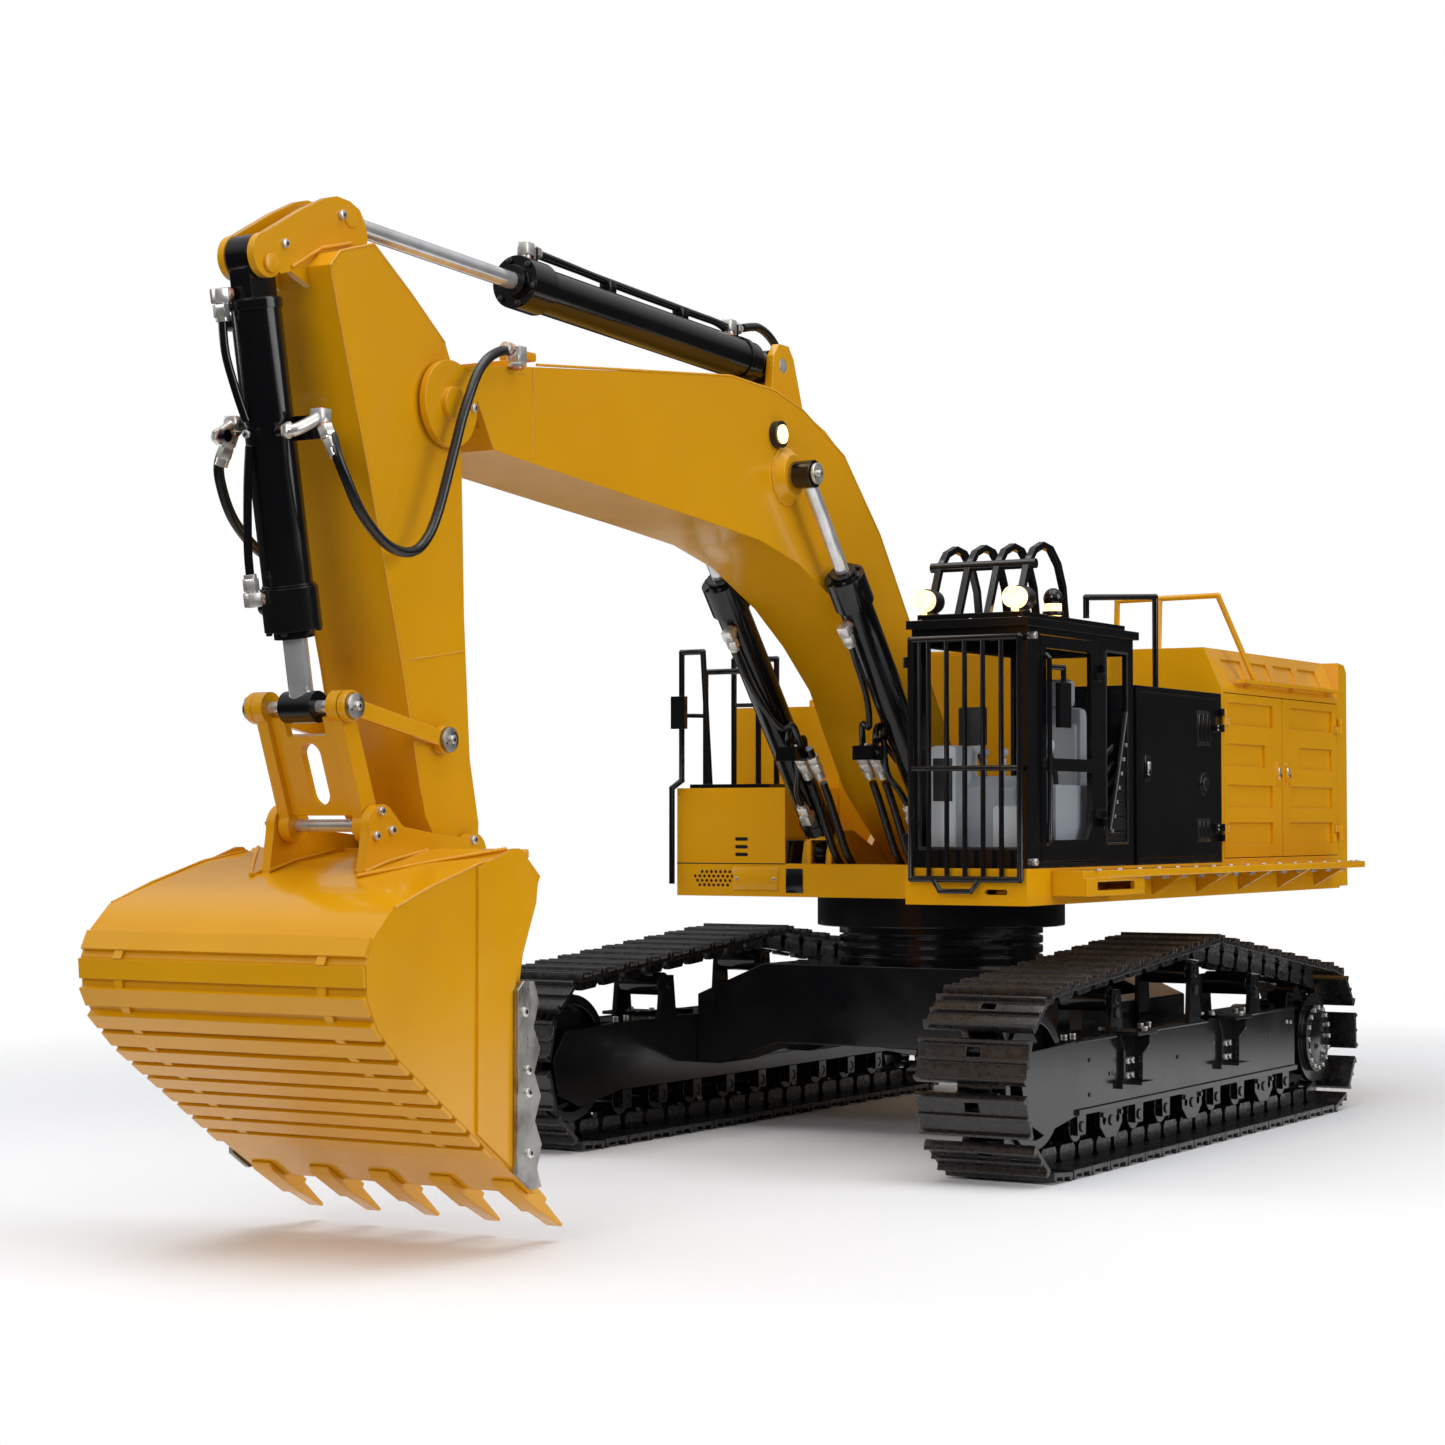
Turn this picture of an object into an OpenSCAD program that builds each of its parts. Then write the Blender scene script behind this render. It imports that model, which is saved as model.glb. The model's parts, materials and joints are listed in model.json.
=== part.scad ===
// Radio-controlled hydraulic excavator on tracks, about 1:14, in millimetres.
// +X is the machine's left (the cab side), -Y is forward and +Z is up.
// The origin is on the ground under the slew axis.

/* [Tracks] */
// Distance between the two track centrelines
track_gauge = 250; // [248:1:256]
// Width of a track shoe
shoe_w = 54; // [48:1:54]
// Wanted pitch of the track chain, rounded to a whole number of links
chain_pitch = 20.6; // [20.4:0.1:21.4]
// Distance from the slew axis forward to the idler wheels
idler_reach = 180; // [176:1:184]
// Distance from the slew axis back to the sprockets
sprocket_reach = 180; // [178:1:184]

/* [House] */
// Left side of the house, from the slew axis
house_left = 128; // [127:1:130]
// Right side of the house, from the slew axis
house_right = 114; // [114:1:118]
// Back of the counterweight, from the slew axis
tail_y = 300; // [296:1:306]
// Wall of the sheet-metal covers
sheet = 2.5; // [2:0.1:2.8]

/* [Arm] */
// Width of the boom
boom_w = 47; // [47:0.5:48]
// Width of the stick
stick_w = 39; // [38:0.5:39]
// Plate of the boom and the stick
plate = 3; // [2.5:0.1:3.2]
// Half the distance between the two boom cylinders
boom_cyl_x = 34; // [34:0.5:35]

/* [Bucket] */
// Width of the bucket
bucket_w = 132; // [120:1:140]
// Plate of the bucket's shell
bucket_t = 2.6; // [2.2:0.1:3]
// Number of wear bars around the bucket's back
wear_bars = 12; // [8:1:13]

/* [Fits] */
// Radial clearance of a pin in its bore
fit = 0.05; // [0.03:0.01:0.09]
// Diameter of the hydraulic hoses
hose_d = 4; // [3.6:0.1:4.2]

/* [Hidden] */
$fn = 48;

yellow = "#e3a517";
black = "#17181a";
steel = "#8d8f92";
nickel = "#c9c6bd";
track_black = "#2b2521";

// ---- tracks: the pin line of the chain, and what hangs on it
track_x = track_gauge / 2;
pin_height = 9;                 // pin line above the grouser tips
rail_in = 3.5;                  // rail's inner face, from the pin line
rail_out = 4.5;                 // rail's outer face, where the shoe sits
rail_x = 8.5;                   // rails either side of the chain's middle
rail_t = 3.5;
idler_pin_r = 35;
sprocket_pin_r = 32;
idler_c = [-idler_reach, pin_height + idler_pin_r];
sprocket_c = [sprocket_reach, pin_height + sprocket_pin_r];
crest = [10, 95];               // highest point of the top run
frame_x = 15;                   // half the width of a track frame
frame_z = [28, 59.5];           // underside and top of a track frame
frame_y = [-142, 150];
idler_tan = tangent_angle(idler_c, idler_pin_r, crest, 1);
sprocket_tan = tangent_angle(sprocket_c, sprocket_pin_r, crest, -1);
rise_start = idler_c + idler_pin_r * unit(idler_tan);
fall_end = sprocket_c + sprocket_pin_r * unit(sprocket_tan);
chain_runs = [sprocket_c[0] - idler_c[0], arc_len(idler_pin_r, 270 - idler_tan),
    norm(crest - rise_start), norm(fall_end - crest), arc_len(sprocket_pin_r, sprocket_tan + 90)];
chain_len = chain_runs * [1, 1, 1, 1, 1];
link_count = round(chain_len / chain_pitch);
carrier_y = [-95, 5, 90];
roller_y = [for (i = [0:8]) -136 + 34 * i];
roller_r = 7.5;
carrier_r = 6;

// ---- house
ring_z = [87, 106];             // fixed slew ring
turret_z = [106.3, 122];        // turning slew turret
deck_z = 122;                   // underside of the deck
sill_z = 139;                   // top of the deck's skirt
skirt = 3;
front_y = -80;                  // front edge of the deck between the boxes
cab_x = [68, 127];
cab_y = [-166, -42];
cab_z = [139, 250];
post = 4;                       // width of the cab's posts
pump_y = [-40, 74];
pump_top = 228;
hood_y = [75, 262];
hood_z = [139, 231, 253];       // sill, shoulder and roof of the hood
hood_lean = 10;                 // how far the shoulder leans in
hinge_x = house_left + 1.5;     // vertical hinge line of the side doors
cab_hinge_y = -84;
pump_hinge_y = 71.5;
hood_hinge_y = [75, 260];
door_t = 3;                     // thickness of the side doors
guard_hinge = [68, -171.5];

// ---- arm pivots, as [y, z]
boom_foot = [-2, 152];
cyl_foot = [-60, 144];
boom_eye = [-206, 321];
boom_nose = [-468, 322];
stick_cyl_foot = [-186, 376];
stick_cyl_eye = [-512, 388.5];
bucket_cyl_top = [-560, 366];
link_stick = [-470, 192];
link_top = [-528.5, 203];
bucket_hinge = [-453.5, 148];
bucket_ear = bucket_hinge + link_top - link_stick;
foot_pin_r = 5;
nose_pin_r = 4.5;
link_pin_r = 2.4;
eye_pin_r = 3.5;
nose_gap = 0.7;                 // side play between the boom's fork and the stick

boom_outline = [[-459, 338], [-415, 343.5], [-348, 351], [-256, 361], [-217, 359], [-190, 353],
    [-168, 346], [-150, 336], [-134, 322], [-113, 301], [-90, 272], [-60, 232], [-20, 180],
    [6, 164], [12, 152], [7, 141], [-3, 137], [-14, 139], [-40, 158], [-64, 177], [-86, 206],
    [-100, 226], [-127, 247], [-155, 264], [-195, 281], [-230, 289], [-284, 294], [-340, 298.5],
    [-400, 303.5], [-440, 307]];
fork_end = [-430, -445];        // the fork's floor, above and below the nose pin

stick_outline = [[-538, 365], [-532, 371], [-512, 377], [-489, 362], [-467, 346], [-461, 335],
    [-456, 300], [-454, 240], [-450, 185], [-444, 160], [-444.5, 148], [-448, 141.5], [-455, 139.5],
    [-463, 143], [-471, 152], [-479, 163], [-494, 221], [-516, 295]];
cheek_outline = [[-553, 360], [-547, 362], [-536, 358], [-530, 352], [-520, 360], [-503, 372],
    [-501.7, 382.5], [-503, 387], [-506.7, 392], [-512.6, 394.2], [-520.3, 394.7], [-526.5, 393],
    [-541, 386], [-553.3, 379], [-562.8, 373.5]];
cheek_gap = 11;
cheek_t = 3;

// ---- bucket, in side view, from the mouth's top edge round the back to the lip
bucket_outline = [[-469, 140], [-480, 149], [-508, 145], [-538, 137], [-560, 130], [-570, 121],
    [-575, 111], [-574, 99], [-568, 88], [-556.5, 77.5], [-543.6, 68.6], [-518.8, 51.8], [-497, 36.8],
    [-472.5, 21.2], [-471.1, 23.4], [-480, 60], [-483, 98], [-478, 122]];
bucket_back = [5, 12];          // outline points between which the wear bars sit
lip = bucket_outline[13];       // outer edge of the lip plate
lip_angle = atan2(lip[1] - bucket_outline[12][1], lip[0] - bucket_outline[12][0]);
side_plate = [[-510, 144], [-488, 150.5], [-484, 150.5], [-479, 147], [-472, 137], [-473, 130],
    [-486, 102], [-486, 31], [-510, 47]];
tooth_x = [for (i = [-2:2]) i * (bucket_w - 16) / 4];

// ---- hoses: hand-chosen points of each route
loop_left = [[15.5, -543, 309], [20, -543, 306], [25, -543.5, 301], [28, -544, 293],
    [29.5, -540, 284], [30, -534, 275], [30, -526, 268], [30, -517, 263], [30, -507, 261],
    [30, -498, 263], [30, -491, 269], [30, -486, 277], [30, -482, 286], [30, -478, 296],
    [30, -474, 306], [30, -470, 316], [30, -465, 326], [29.5, -459, 335], [28.5, -451, 341.5],
    [27.5, -442, 345.5], [26.5, -433, 347.5]];
loop_right = [for (p = loop_left) [-p[0], p[1], p[2]]];
stick_route = [[0, -206, 392], [0, -199, 393.5], [-0.5, -191, 394.5], [-1, -182, 393],
    [-1.5, -174, 389.5], [-2, -166, 383.5], [-2.5, -159, 376], [-3, -153, 367.5], [-3, -148, 358.5],
    [-3, -144, 349], [-3, -141, 339]];
deck_route = [[-103, 180], [-97, 172], [-91, 163], [-85, 154], [-79, 145.5], [-71, 138],
    [-61, 133], [-50, 130.5], [-39, 130]];

// ================================================================ helpers

function unit(a) = [cos(a), sin(a)];
function arc_len(r, a) = r * a * PI / 180;
function tangent_angle(c, r, p, side) = let (v = p - c)
    atan2(v[1], v[0]) + side * acos(r / norm(v));

// A closed outline moved inwards by d; its points run clockwise
function edge_normal(a, b) = let (v = b - a) [v[1], -v[0]] / norm(v);
function inset(p, d) = [for (i = [0:len(p) - 1])
    let (n = len(p), n1 = edge_normal(p[(i + n - 1) % n], p[i]),
        n2 = edge_normal(p[i], p[(i + 1) % n]))
    p[i] + d * (n1 + n2) / (1 + n1 * n2)];

// A side-view outline given width w across X
module slab(outline, w, x = 0)
    translate([x - w / 2, 0, 0]) rotate([90, 0, 90]) linear_extrude(w) polygon(outline);

// A plan-view outline between two heights
module floor_plan(outline, z) translate([0, 0, z[0]]) linear_extrude(z[1] - z[0]) polygon(outline);

// A box between two corners
module box(a, b) translate(a) cube(b - a);

// A cylinder along X about the side-view point c
module xcyl(c, r, w, x = 0) translate([x - w / 2, c[0], c[1]]) rotate([0, 90, 0]) cylinder(r = r, h = w);

module both_sides() {
    children();
    mirror([1, 0, 0]) children();
}

// Local Z runs from p towards q in the plane at x
module aim(p, q, x = 0)
    translate([x, p[0], p[1]]) rotate([atan2(p[0] - q[0], q[1] - p[1]), 0, 0]) children();

// A round bar through a list of points, with a slightly fuller ball at each inner corner
knuckle = 1.06;
module bar(points, r) {
    for (i = [0:len(points) - 2]) bar_piece(points[i], points[i + 1], r);
    for (i = [1:len(points) - 2]) translate(points[i]) sphere(r = r * knuckle, $fn = 24);
}
module bar_piece(a, b, r) {
    v = b - a;
    translate(a) rotate([0, acos(v[2] / norm(v)), atan2(v[1], v[0])])
        cylinder(r = r, h = norm(v), $fn = 24);
}

// A tube swept along a route, its rings turned as little as possible
function step_dir(p, i) = let (a = p[max(i - 1, 0)], b = p[min(i + 1, len(p) - 1)]) (b - a) / norm(b - a);
function level(u, t) = let (v = u - t * (u * t)) v / norm(v);
function ring_sides(p, i = 0, u = [0.2, 0.3, 1]) =
    i == len(p) ? [] : let (v = level(u, step_dir(p, i))) concat([v], ring_sides(p, i + 1, v));
module hose(p, d, sides = 8) {
    u = ring_sides(p);
    rings = [for (i = [0:len(p) - 1]) let (w = cross(step_dir(p, i), u[i]))
        for (k = [0:sides - 1]) p[i] + d / 2 * (u[i] * cos(k * 360 / sides) + w * sin(k * 360 / sides))];
    last = (len(p) - 1) * sides;
    polyhedron(rings, concat(
        [[for (k = [0:sides - 1]) k]],
        [for (i = [0:len(p) - 2]) for (k = [0:sides - 1]) let (m = (k + 1) % sides)
            [i * sides + k, (i + 1) * sides + k, (i + 1) * sides + m, i * sides + m]],
        [[for (k = [sides - 1:-1:0]) last + k]]));
}

// ================================================================ tracks

// Place and heading on the chain's pin line, s along it from the sprocket's foot
function chain_at(s) = let (r = chain_runs,
        a = s - r[0], b = a - r[1], c = b - r[2], d = c - r[3])
    a < 0 ? [sprocket_c[0] - s, pin_height, 180]
    : b < 0 ? on_wheel(idler_c, idler_pin_r, 270 - a / idler_pin_r * 180 / PI)
    : c < 0 ? on_line(rise_start, crest, b)
    : d < 0 ? on_line(crest, fall_end, c)
    : on_wheel(sprocket_c, sprocket_pin_r, sprocket_tan - d / sprocket_pin_r * 180 / PI);
function on_wheel(c, r, a) = concat(c + r * unit(a), [a - 90]);
function on_line(a, b, s) = let (v = (b - a) / norm(b - a)) concat(a + v * s, [atan2(v[1], v[0])]);

// Copies of a link's part, its Y along the chain and its Z outwards
module along_chain(x) {
    for (i = [0:link_count - 1]) {
        at = chain_at((i + 0.5) * chain_len / link_count);
        translate([x, at[0], at[1]]) rotate([at[2], 0, 0]) children();
    }
}

shoe_outline = [[-10, 4.5], [10, 4.5], [10, 6.6], [8.9, 9], [7.9, 9], [7, 6.6], [1, 6.6],
    [0.5, 8.4], [-0.5, 8.4], [-1, 6.6], [-7, 6.6], [-7.9, 9], [-8.9, 9], [-10, 6.6]];

module track_shoe() difference() {
    slab(shoe_outline, shoe_w);
    box([-3.5, 1.8, 4], [3.5, 6.2, 7]);
}
module track_shoes_left() color(track_black) along_chain(track_x) track_shoe();
module track_shoes_right() mirror([1, 0, 0]) track_shoes_left();

module chain_link() {
    both_sides() slab([[-8.2, -1.5], [-6.5, -rail_in], [6.5, -rail_in], [8.2, -1.5],
        [8.2, 2.5], [6.5, rail_out], [-6.5, rail_out], [-8.2, 2.5]], rail_t, rail_x);
    xcyl([0, 0], 1.5, 2 * rail_x - rail_t, $fn = 16);
}
module track_links() color(track_black) both_sides() along_chain(track_x) chain_link();

module sprocket_left() color(black) translate([track_x, 0, 0]) difference() {
    union() {
        slab([for (i = [0:23]) sprocket_c + (i % 2 == 0 ? 29.6 : 25) * unit(i * 15)], 11.5);
        xcyl(sprocket_c, 21, 27.2, 1.4);
        xcyl(sprocket_c, 24, 2.5, 13.75);
        xcyl(sprocket_c, 18.8, 3.5, 16);
        for (i = [0:15]) xcyl(sprocket_c + 16.6 * unit(i * 22.5), 1, 4.4, 16.6, $fn = 16);
    }
    xcyl(sprocket_c, 8 + fit, 20, -5);
}
module sprocket_right() mirror([1, 0, 0]) sprocket_left();

module idler_wheel_left() color(black) translate([track_x, 0, 0]) difference() {
    union() {
        xcyl(idler_c, 31.2, 24);
        xcyl(idler_c, 33, 10);
    }
    both_sides() difference() {
        xcyl(idler_c, 26, 5, 10);
        xcyl(idler_c, 10, 5.2, 10);
    }
    xcyl(idler_c, 5 + fit, 30);
}
module idler_wheel_right() mirror([1, 0, 0]) idler_wheel_left();

module final_drives() color(black) both_sides() {
    xcyl(sprocket_c, 17, 16, track_x - frame_x - 8);
    xcyl(sprocket_c, 8, 33.5, track_x - frame_x + 3.25);
    xcyl(sprocket_c, 12, 12, track_x - frame_x - 22);
}

module frame_side_plate(outline, side)
    slab(outline, 2.6, track_x + side * (frame_x - 1.3));
module carrier_plate(y, side) {
    c = carrier_centre(y);
    difference() {
        frame_side_plate([[y - 8, frame_z[1] - 1], [y - 5, c[1] + 4.5], [y + 5, c[1] + 4.5],
            [y + 8, frame_z[1] - 1]], side);
        xcyl(c, 2.5 + fit, 40, track_x);
    }
}
// A carrier roller hangs just under the chain's top run
function carrier_centre(y) = let (a = y < crest[0] ? rise_start : crest,
        b = y < crest[0] ? crest : fall_end, z = a[1] + (b[1] - a[1]) * (y - a[0]) / (b[0] - a[0]))
    [y, z - rail_in - carrier_r - 0.25];

module track_frames() color(black) both_sides() difference() {
    union() {
        difference() {
            box([track_x - frame_x, frame_y[0], frame_z[0]], [track_x + frame_x, frame_y[1], frame_z[1]]);
            box([track_x - frame_x + 2.6, frame_y[0] - 1, frame_z[0] + 2.6],
                [track_x + frame_x - 2.6, frame_y[1] + 1, frame_z[1] - 2.6]);
        }
        // bottom flanges, either side of the rollers
        for (x = [[-frame_x, -12.4], [12.4, frame_x + 1.5]])
            box([track_x + x[0], frame_y[0], frame_z[0] - 2.5], [track_x + x[1], frame_y[1], frame_z[0] + 0.1]);
        for (side = [-1, 1]) {
            frame_side_plate([[frame_y[0] + 1, 25.5], [-178, 20], [-196, 27], [-201, 44], [-190, 58],
                [frame_y[0] + 1, 59.5]], side);
            for (y = carrier_y) carrier_plate(y, side);
        }
        frame_side_plate([[frame_y[1] - 1, 25.5], [frame_y[1] - 1, 59.5], [186, 62], [203, 50],
            [203, 32], [186, 20]], -1);
        xcyl(idler_c, 5, 2 * frame_x, track_x);
        for (y = [-60, 60, 140]) box([track_x - 6, y - 4, frame_z[1]], [track_x + 6, y + 4, frame_z[1] + 2]);
    }
    xcyl(sprocket_c, 8 + fit, 20, track_x - frame_x);
    for (p = [[-128, 50], [-104, 42], [-20, 44], [60, 40], [-128, 34]])
        xcyl(p, 1, 8, track_x + frame_x, $fn = 16);
}

module roller(c, r) {
    xcyl(c, r, 24, track_x);
    xcyl(c, 2.5, 2 * frame_x + 1.6, track_x, $fn = 24);
}
module track_rollers() color(black) both_sides() {
    for (y = roller_y) roller([y, pin_height + rail_in + roller_r + 0.1], roller_r);
    for (y = carrier_y) roller(carrier_centre(y), carrier_r);
}

module roller_guard(y, wide) {
    z = pin_height + rail_in + roller_r + 0.1;
    top = frame_z[0] - 2.5;
    difference() {
        slab(wide ? [[y - 13, top], [y + 13, top], [y + 13, z - 2], [y + 6, z - 8], [y - 6, z - 8], [y - 13, z - 2]]
            : [[y - 5, top], [y + 5, top], [y + 4.5, z - 4], [y - 4.5, z - 4]], 2.6, track_x + frame_x - 1.3);
        xcyl([y, z], 2.5 + fit, 20, track_x + frame_x);
        if (wide) for (s = [-1, 1]) xcyl([y + s * 8, z + 0.5], 2, 20, track_x + frame_x, $fn = 24);
    }
    for (s = wide ? [-10.5, 10.5] : [])
        xcyl([y + s, top - 2.2], 1.2, 1.2, track_x + frame_x + 0.6, $fn = 16);
}
module roller_guards() color(black) both_sides() {
    for (i = [0:8]) roller_guard(roller_y[i], i % 3 == 1);
    for (y = roller_y) difference() {
        slab([[y - 4, 25.5], [y + 4, 25.5], [y + 4, 16], [y - 4, 16]], 2.2, track_x - frame_x - 0.1);
        xcyl([y, pin_height + rail_in + roller_r + 0.1], 2.5 + fit, 8, track_x - frame_x);
    }
}

// A bolted step bracket: back plate, foot flange, bent outer web and a top plate
module track_step(y) {
    side = track_x + frame_x;
    slab([[y - 7, 37], [y - 7, 53], [y - 10, 58], [y - 10, 59.5], [y + 11, 59.5], [y + 11, 57],
        [y + 8, 52], [y + 8, 37]], 2, side + 1);
    slab([[y - 10, 34], [y - 10, 38], [y + 13, 38], [y + 13, 34]], 2.6, side + 1.3);
    translate([0, y + 7, 0]) rotate([90, 0, 0]) linear_extrude(2) polygon([[side, 36], [side + 6.5, 36],
        [side + 6.5, 50], [side + 10, 54.5], [side + 10, 59.5], [side, 59.5]]);
    box([side, y - 2, 35.5], [side + 9, y + 13, 37]);
    box([side, y - 11, 59.5], [side + 11, y + 12, 61.3]);
    box([side - 12, y - 2.8, 59.5], [side + 0.1, y + 12, 61.3]);
}
module track_steps() color(black) both_sides() for (y = [-84, 44]) {
    track_step(y);
    for (z = [40, 47], k = [-4.5, 1]) xcyl([y + k, z], 1.2, 1.2, track_x + frame_x + 2.6, $fn = 16);
}

module car_body() color(black) difference() {
    translate([0, 66, 0]) rotate([90, 0, 0]) linear_extrude(132)
        polygon([[-110, 34], [-110, 70], [-70, 87], [70, 87], [110, 70], [110, 34], [96, 34], [62, 46],
            [-62, 46], [-96, 34]]);
    for (s = [-1, 1]) translate([s * 90, 0, 0]) box([-13, -30, 20], [13, 30, 100]);
    cylinder(r = 22, h = 120);
    box([-56, -60, 40], [56, 60, 82]);
}

module slew_ring() color(black) difference() {
    union() {
        translate([0, 0, ring_z[0]]) cylinder(r = 53.5, h = ring_z[1] - ring_z[0], $fn = 96);
        translate([0, 0, ring_z[1]]) cylinder(r = 30, h = 6, $fn = 96);
    }
    for (z = [91, 96, 101]) translate([0, 0, z]) difference() {
        cylinder(r = 60, h = 1.2, $fn = 96);
        translate([0, 0, -1]) cylinder(r = 51.5, h = 4, $fn = 96);
    }
    translate([0, 0, 80]) cylinder(r = 18, h = 40);
}

// ================================================================ house

module slew_turret() color(black) difference() {
    translate([0, 0, turret_z[0]]) cylinder(r = 65, h = turret_z[1] - turret_z[0], $fn = 96);
    translate([0, 0, turret_z[0] - 1]) cylinder(r = 30 + fit, h = 8, $fn = 96);
    translate([0, 0, turret_z[0]]) cylinder(r = 18, h = 30);
}

deck_outline = [[-house_right, front_y], [-house_right, hood_y[1]], [house_left, hood_y[1]],
    [house_left, -169], [66, -169], [66, front_y]];

module foot_plate(x, w) difference() {
    slab([[-76, 124], [-72, 146], [-62, 156], [-50, 156], [-30, 148], [-14, 164], [4, 166], [16, 156],
        [26, 124]], w, x);
    xcyl(boom_foot, foot_pin_r + fit, 20, x);
}
module cylinder_foot_plate(x, w)
    slab([[-76, 124], [-70, 150], [-62, 155], [-52, 152], [-44, 124]], w, x);

module house_deck() color(yellow) difference() {
    union() {
        floor_plan(deck_outline, [deck_z, deck_z + skirt]);
        difference() {
            floor_plan(deck_outline, [deck_z, sill_z]);
            floor_plan(inset(deck_outline, skirt), [deck_z - 1, sill_z + 1]);
        }
        box([66, -169, sill_z - skirt], [house_left, cab_y[1], sill_z]);
        for (s = [-1, 1]) {
            foot_plate(s * 27.2, 4);
            cylinder_foot_plate(s * 42, 3);
        }
        for (y = [79, 180]) box([-60, y, deck_z + 1], [66, y + 3, sill_z - 4]);
        for (x = [-46, 52]) box([x, front_y + 1, deck_z + 1], [x + 3, hood_y[0], sill_z - 3]);
    }
    translate([0, 0, 100]) cylinder(r = 18, h = 40);
    for (z = [127, 132.5]) translate([0, -171, z]) hull() for (x = [108, 117])
        translate([x, 0, 1.2]) rotate([-90, 0, 0]) cylinder(r = 1.2, h = 6, $fn = 24);
    for (i = [0:8]) for (k = [0:3]) if (abs(i - 4) + abs(k - 1.5) * 0.8 < 5)
        translate([-103 + i * 2.8 + (k % 2) * 1.4, front_y - 1, 127.6 + k * 2.3])
            rotate([-90, 0, 0]) cylinder(r = 0.9, h = 6, $fn = 16);
}

module walkway() color(yellow) difference() {
    union() {
        floor_plan([[house_left, -142], [house_left, 246], [146, 246], [150, 242], [150, -74], [144, -142]],
            [134.5, 138]);
        difference() {
            box([house_left, -142, 126], [146, -74, 134.5]);
            box([house_left - 1, -138, 128.6], [143.4, -78, 140]);
        }
        for (y = [-20, 40, 100, 160, 220]) translate([0, y, 0]) rotate([90, 0, 0]) linear_extrude(2)
            polygon([[house_left, 124], [house_left, 135], [147, 135]]);
    }
    box([house_left - 1, -130, 128.6], [160, -86, 132.5]);
}

module counterweight() color(yellow) difference() {
    intersection() {
        slab([[262, 124], [262, 253], [272, 252], [tail_y - 9, 233], [tail_y, 150], [tail_y - 4, 122]], 400);
        floor_plan([[-house_right, 250], [-house_right, tail_y - 24], [-house_right + 26, tail_y],
            [house_left - 26, tail_y], [house_left, tail_y - 24], [house_left, 250]], [100, 300]);
    }
    for (x = [-60, 75]) translate([x, tail_y - 16, 215]) rotate([0, 0, 0]) cylinder(r = 3, h = 60);
    box([-30, tail_y - 3, 165], [44, tail_y + 5, 200]);
}

module hood_section(d) {
    l = house_left - d;
    r = house_right - d;
    polygon([[-r, hood_z[0] - (d > 0 ? 1 : 0)], [-r, hood_z[1] - d / 3], [-r + hood_lean, hood_z[2] - d],
        [l - hood_lean, hood_z[2] - d], [l, hood_z[1] - d / 3], [l, hood_z[0] - (d > 0 ? 1 : 0)]]);
}
// A shallow pocket on the leaning shoulder, y0 to y1
module shoulder_pocket(y0, y1)
    translate([house_left, 0, hood_z[1]])
        rotate([0, -atan2(hood_lean, hood_z[2] - hood_z[1]), 0]) box([-1.4, y0, 4], [3, y1, 18]);
module hood_knuckles(y) for (z = [150, 216]) {
    translate([hinge_x, y, z]) cylinder(r = 1.4, h = 4, $fn = 24);
    box([house_left - 1, y - 0.8, z], [hinge_x, y + 0.8, z + 4]);
}
module engine_hood() color(yellow) difference() {
    union() {
        difference() {
            translate([0, hood_y[1], 0]) rotate([90, 0, 0]) linear_extrude(hood_y[1] - hood_y[0]) hood_section(0);
            translate([0, hood_y[1] - sheet, 0]) rotate([90, 0, 0])
                linear_extrude(hood_y[1] - hood_y[0] - 2 * sheet) hood_section(sheet);
        }
        for (y = hood_hinge_y) hood_knuckles(y + (y < 100 ? 0.2 : -0.2));
        box([60, 120, hood_z[2] - 1], [80, 140, hood_z[2] + 3]);
    }
    box([house_left - 8, hood_y[0] + 3, hood_z[0] + 2], [house_left + 0.5, hood_y[1] - 3, hood_z[1] - 2]);
    for (i = [0:3]) shoulder_pocket(92 + i * 40, 122 + i * 40);
}

// A side door: plate from y0 to y1, hinged at y = hinge, closed against the house
module side_door(y0, y1, z0, z1, hinge) {
    near = hinge < y0 ? y0 : y1;            // the door's edge beside its hinge
    inward = hinge < y0 ? 6 : -6;
    box([house_left - door_t, y0, z0], [house_left, y1, z1]);
    for (z = [z0 + 13, z1 - 17]) {
        translate([hinge_x, hinge, z]) cylinder(r = 1.4, h = 4, $fn = 24);
        box([house_left + 0.1, min(hinge - 0.3, near + inward), z], [hinge_x, max(hinge + 0.3, near + inward), z + 4]);
        box([house_left - 1, min(near, near + inward), z], [hinge_x, max(near, near + inward), z + 4]);
    }
}
module door_pocket(y0, y1, z0, z1) box([house_left - 1.6, y0, z0], [house_left + 1, y1, z1]);
module door_latch(y, z) {
    box([house_left - 0.1, y - 2.4, z - 5], [house_left + 1, y + 2.4, z + 5]);
    translate([house_left, y, z - 2]) rotate([0, 90, 0]) cylinder(r = 1.2, h = 2, $fn = 24);
}

module engine_door_front() color(yellow) {
    difference() {
        side_door(hood_y[0] + 3.4, 166.6, hood_z[0] + 2.4, hood_z[1] - 2.4, hood_hinge_y[0]);
        for (z = [[212, 224], [190, 202], [168, 180], [148, 160]])
            door_pocket(84, z[0] == 190 ? 140 : 152, z[0], z[1]);
    }
    door_latch(160, 187);
}
module engine_door_rear() color(yellow) {
    difference() {
        side_door(167.4, hood_y[1] - 3.4, hood_z[0] + 2.4, hood_z[1] - 2.4, hood_hinge_y[1]);
        for (z = [[212, 224], [190, 202], [168, 180], [148, 160]])
            door_pocket(z[0] == 190 ? 195 : 180, 250, z[0], z[1]);
    }
    door_latch(173, 187);
}

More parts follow.
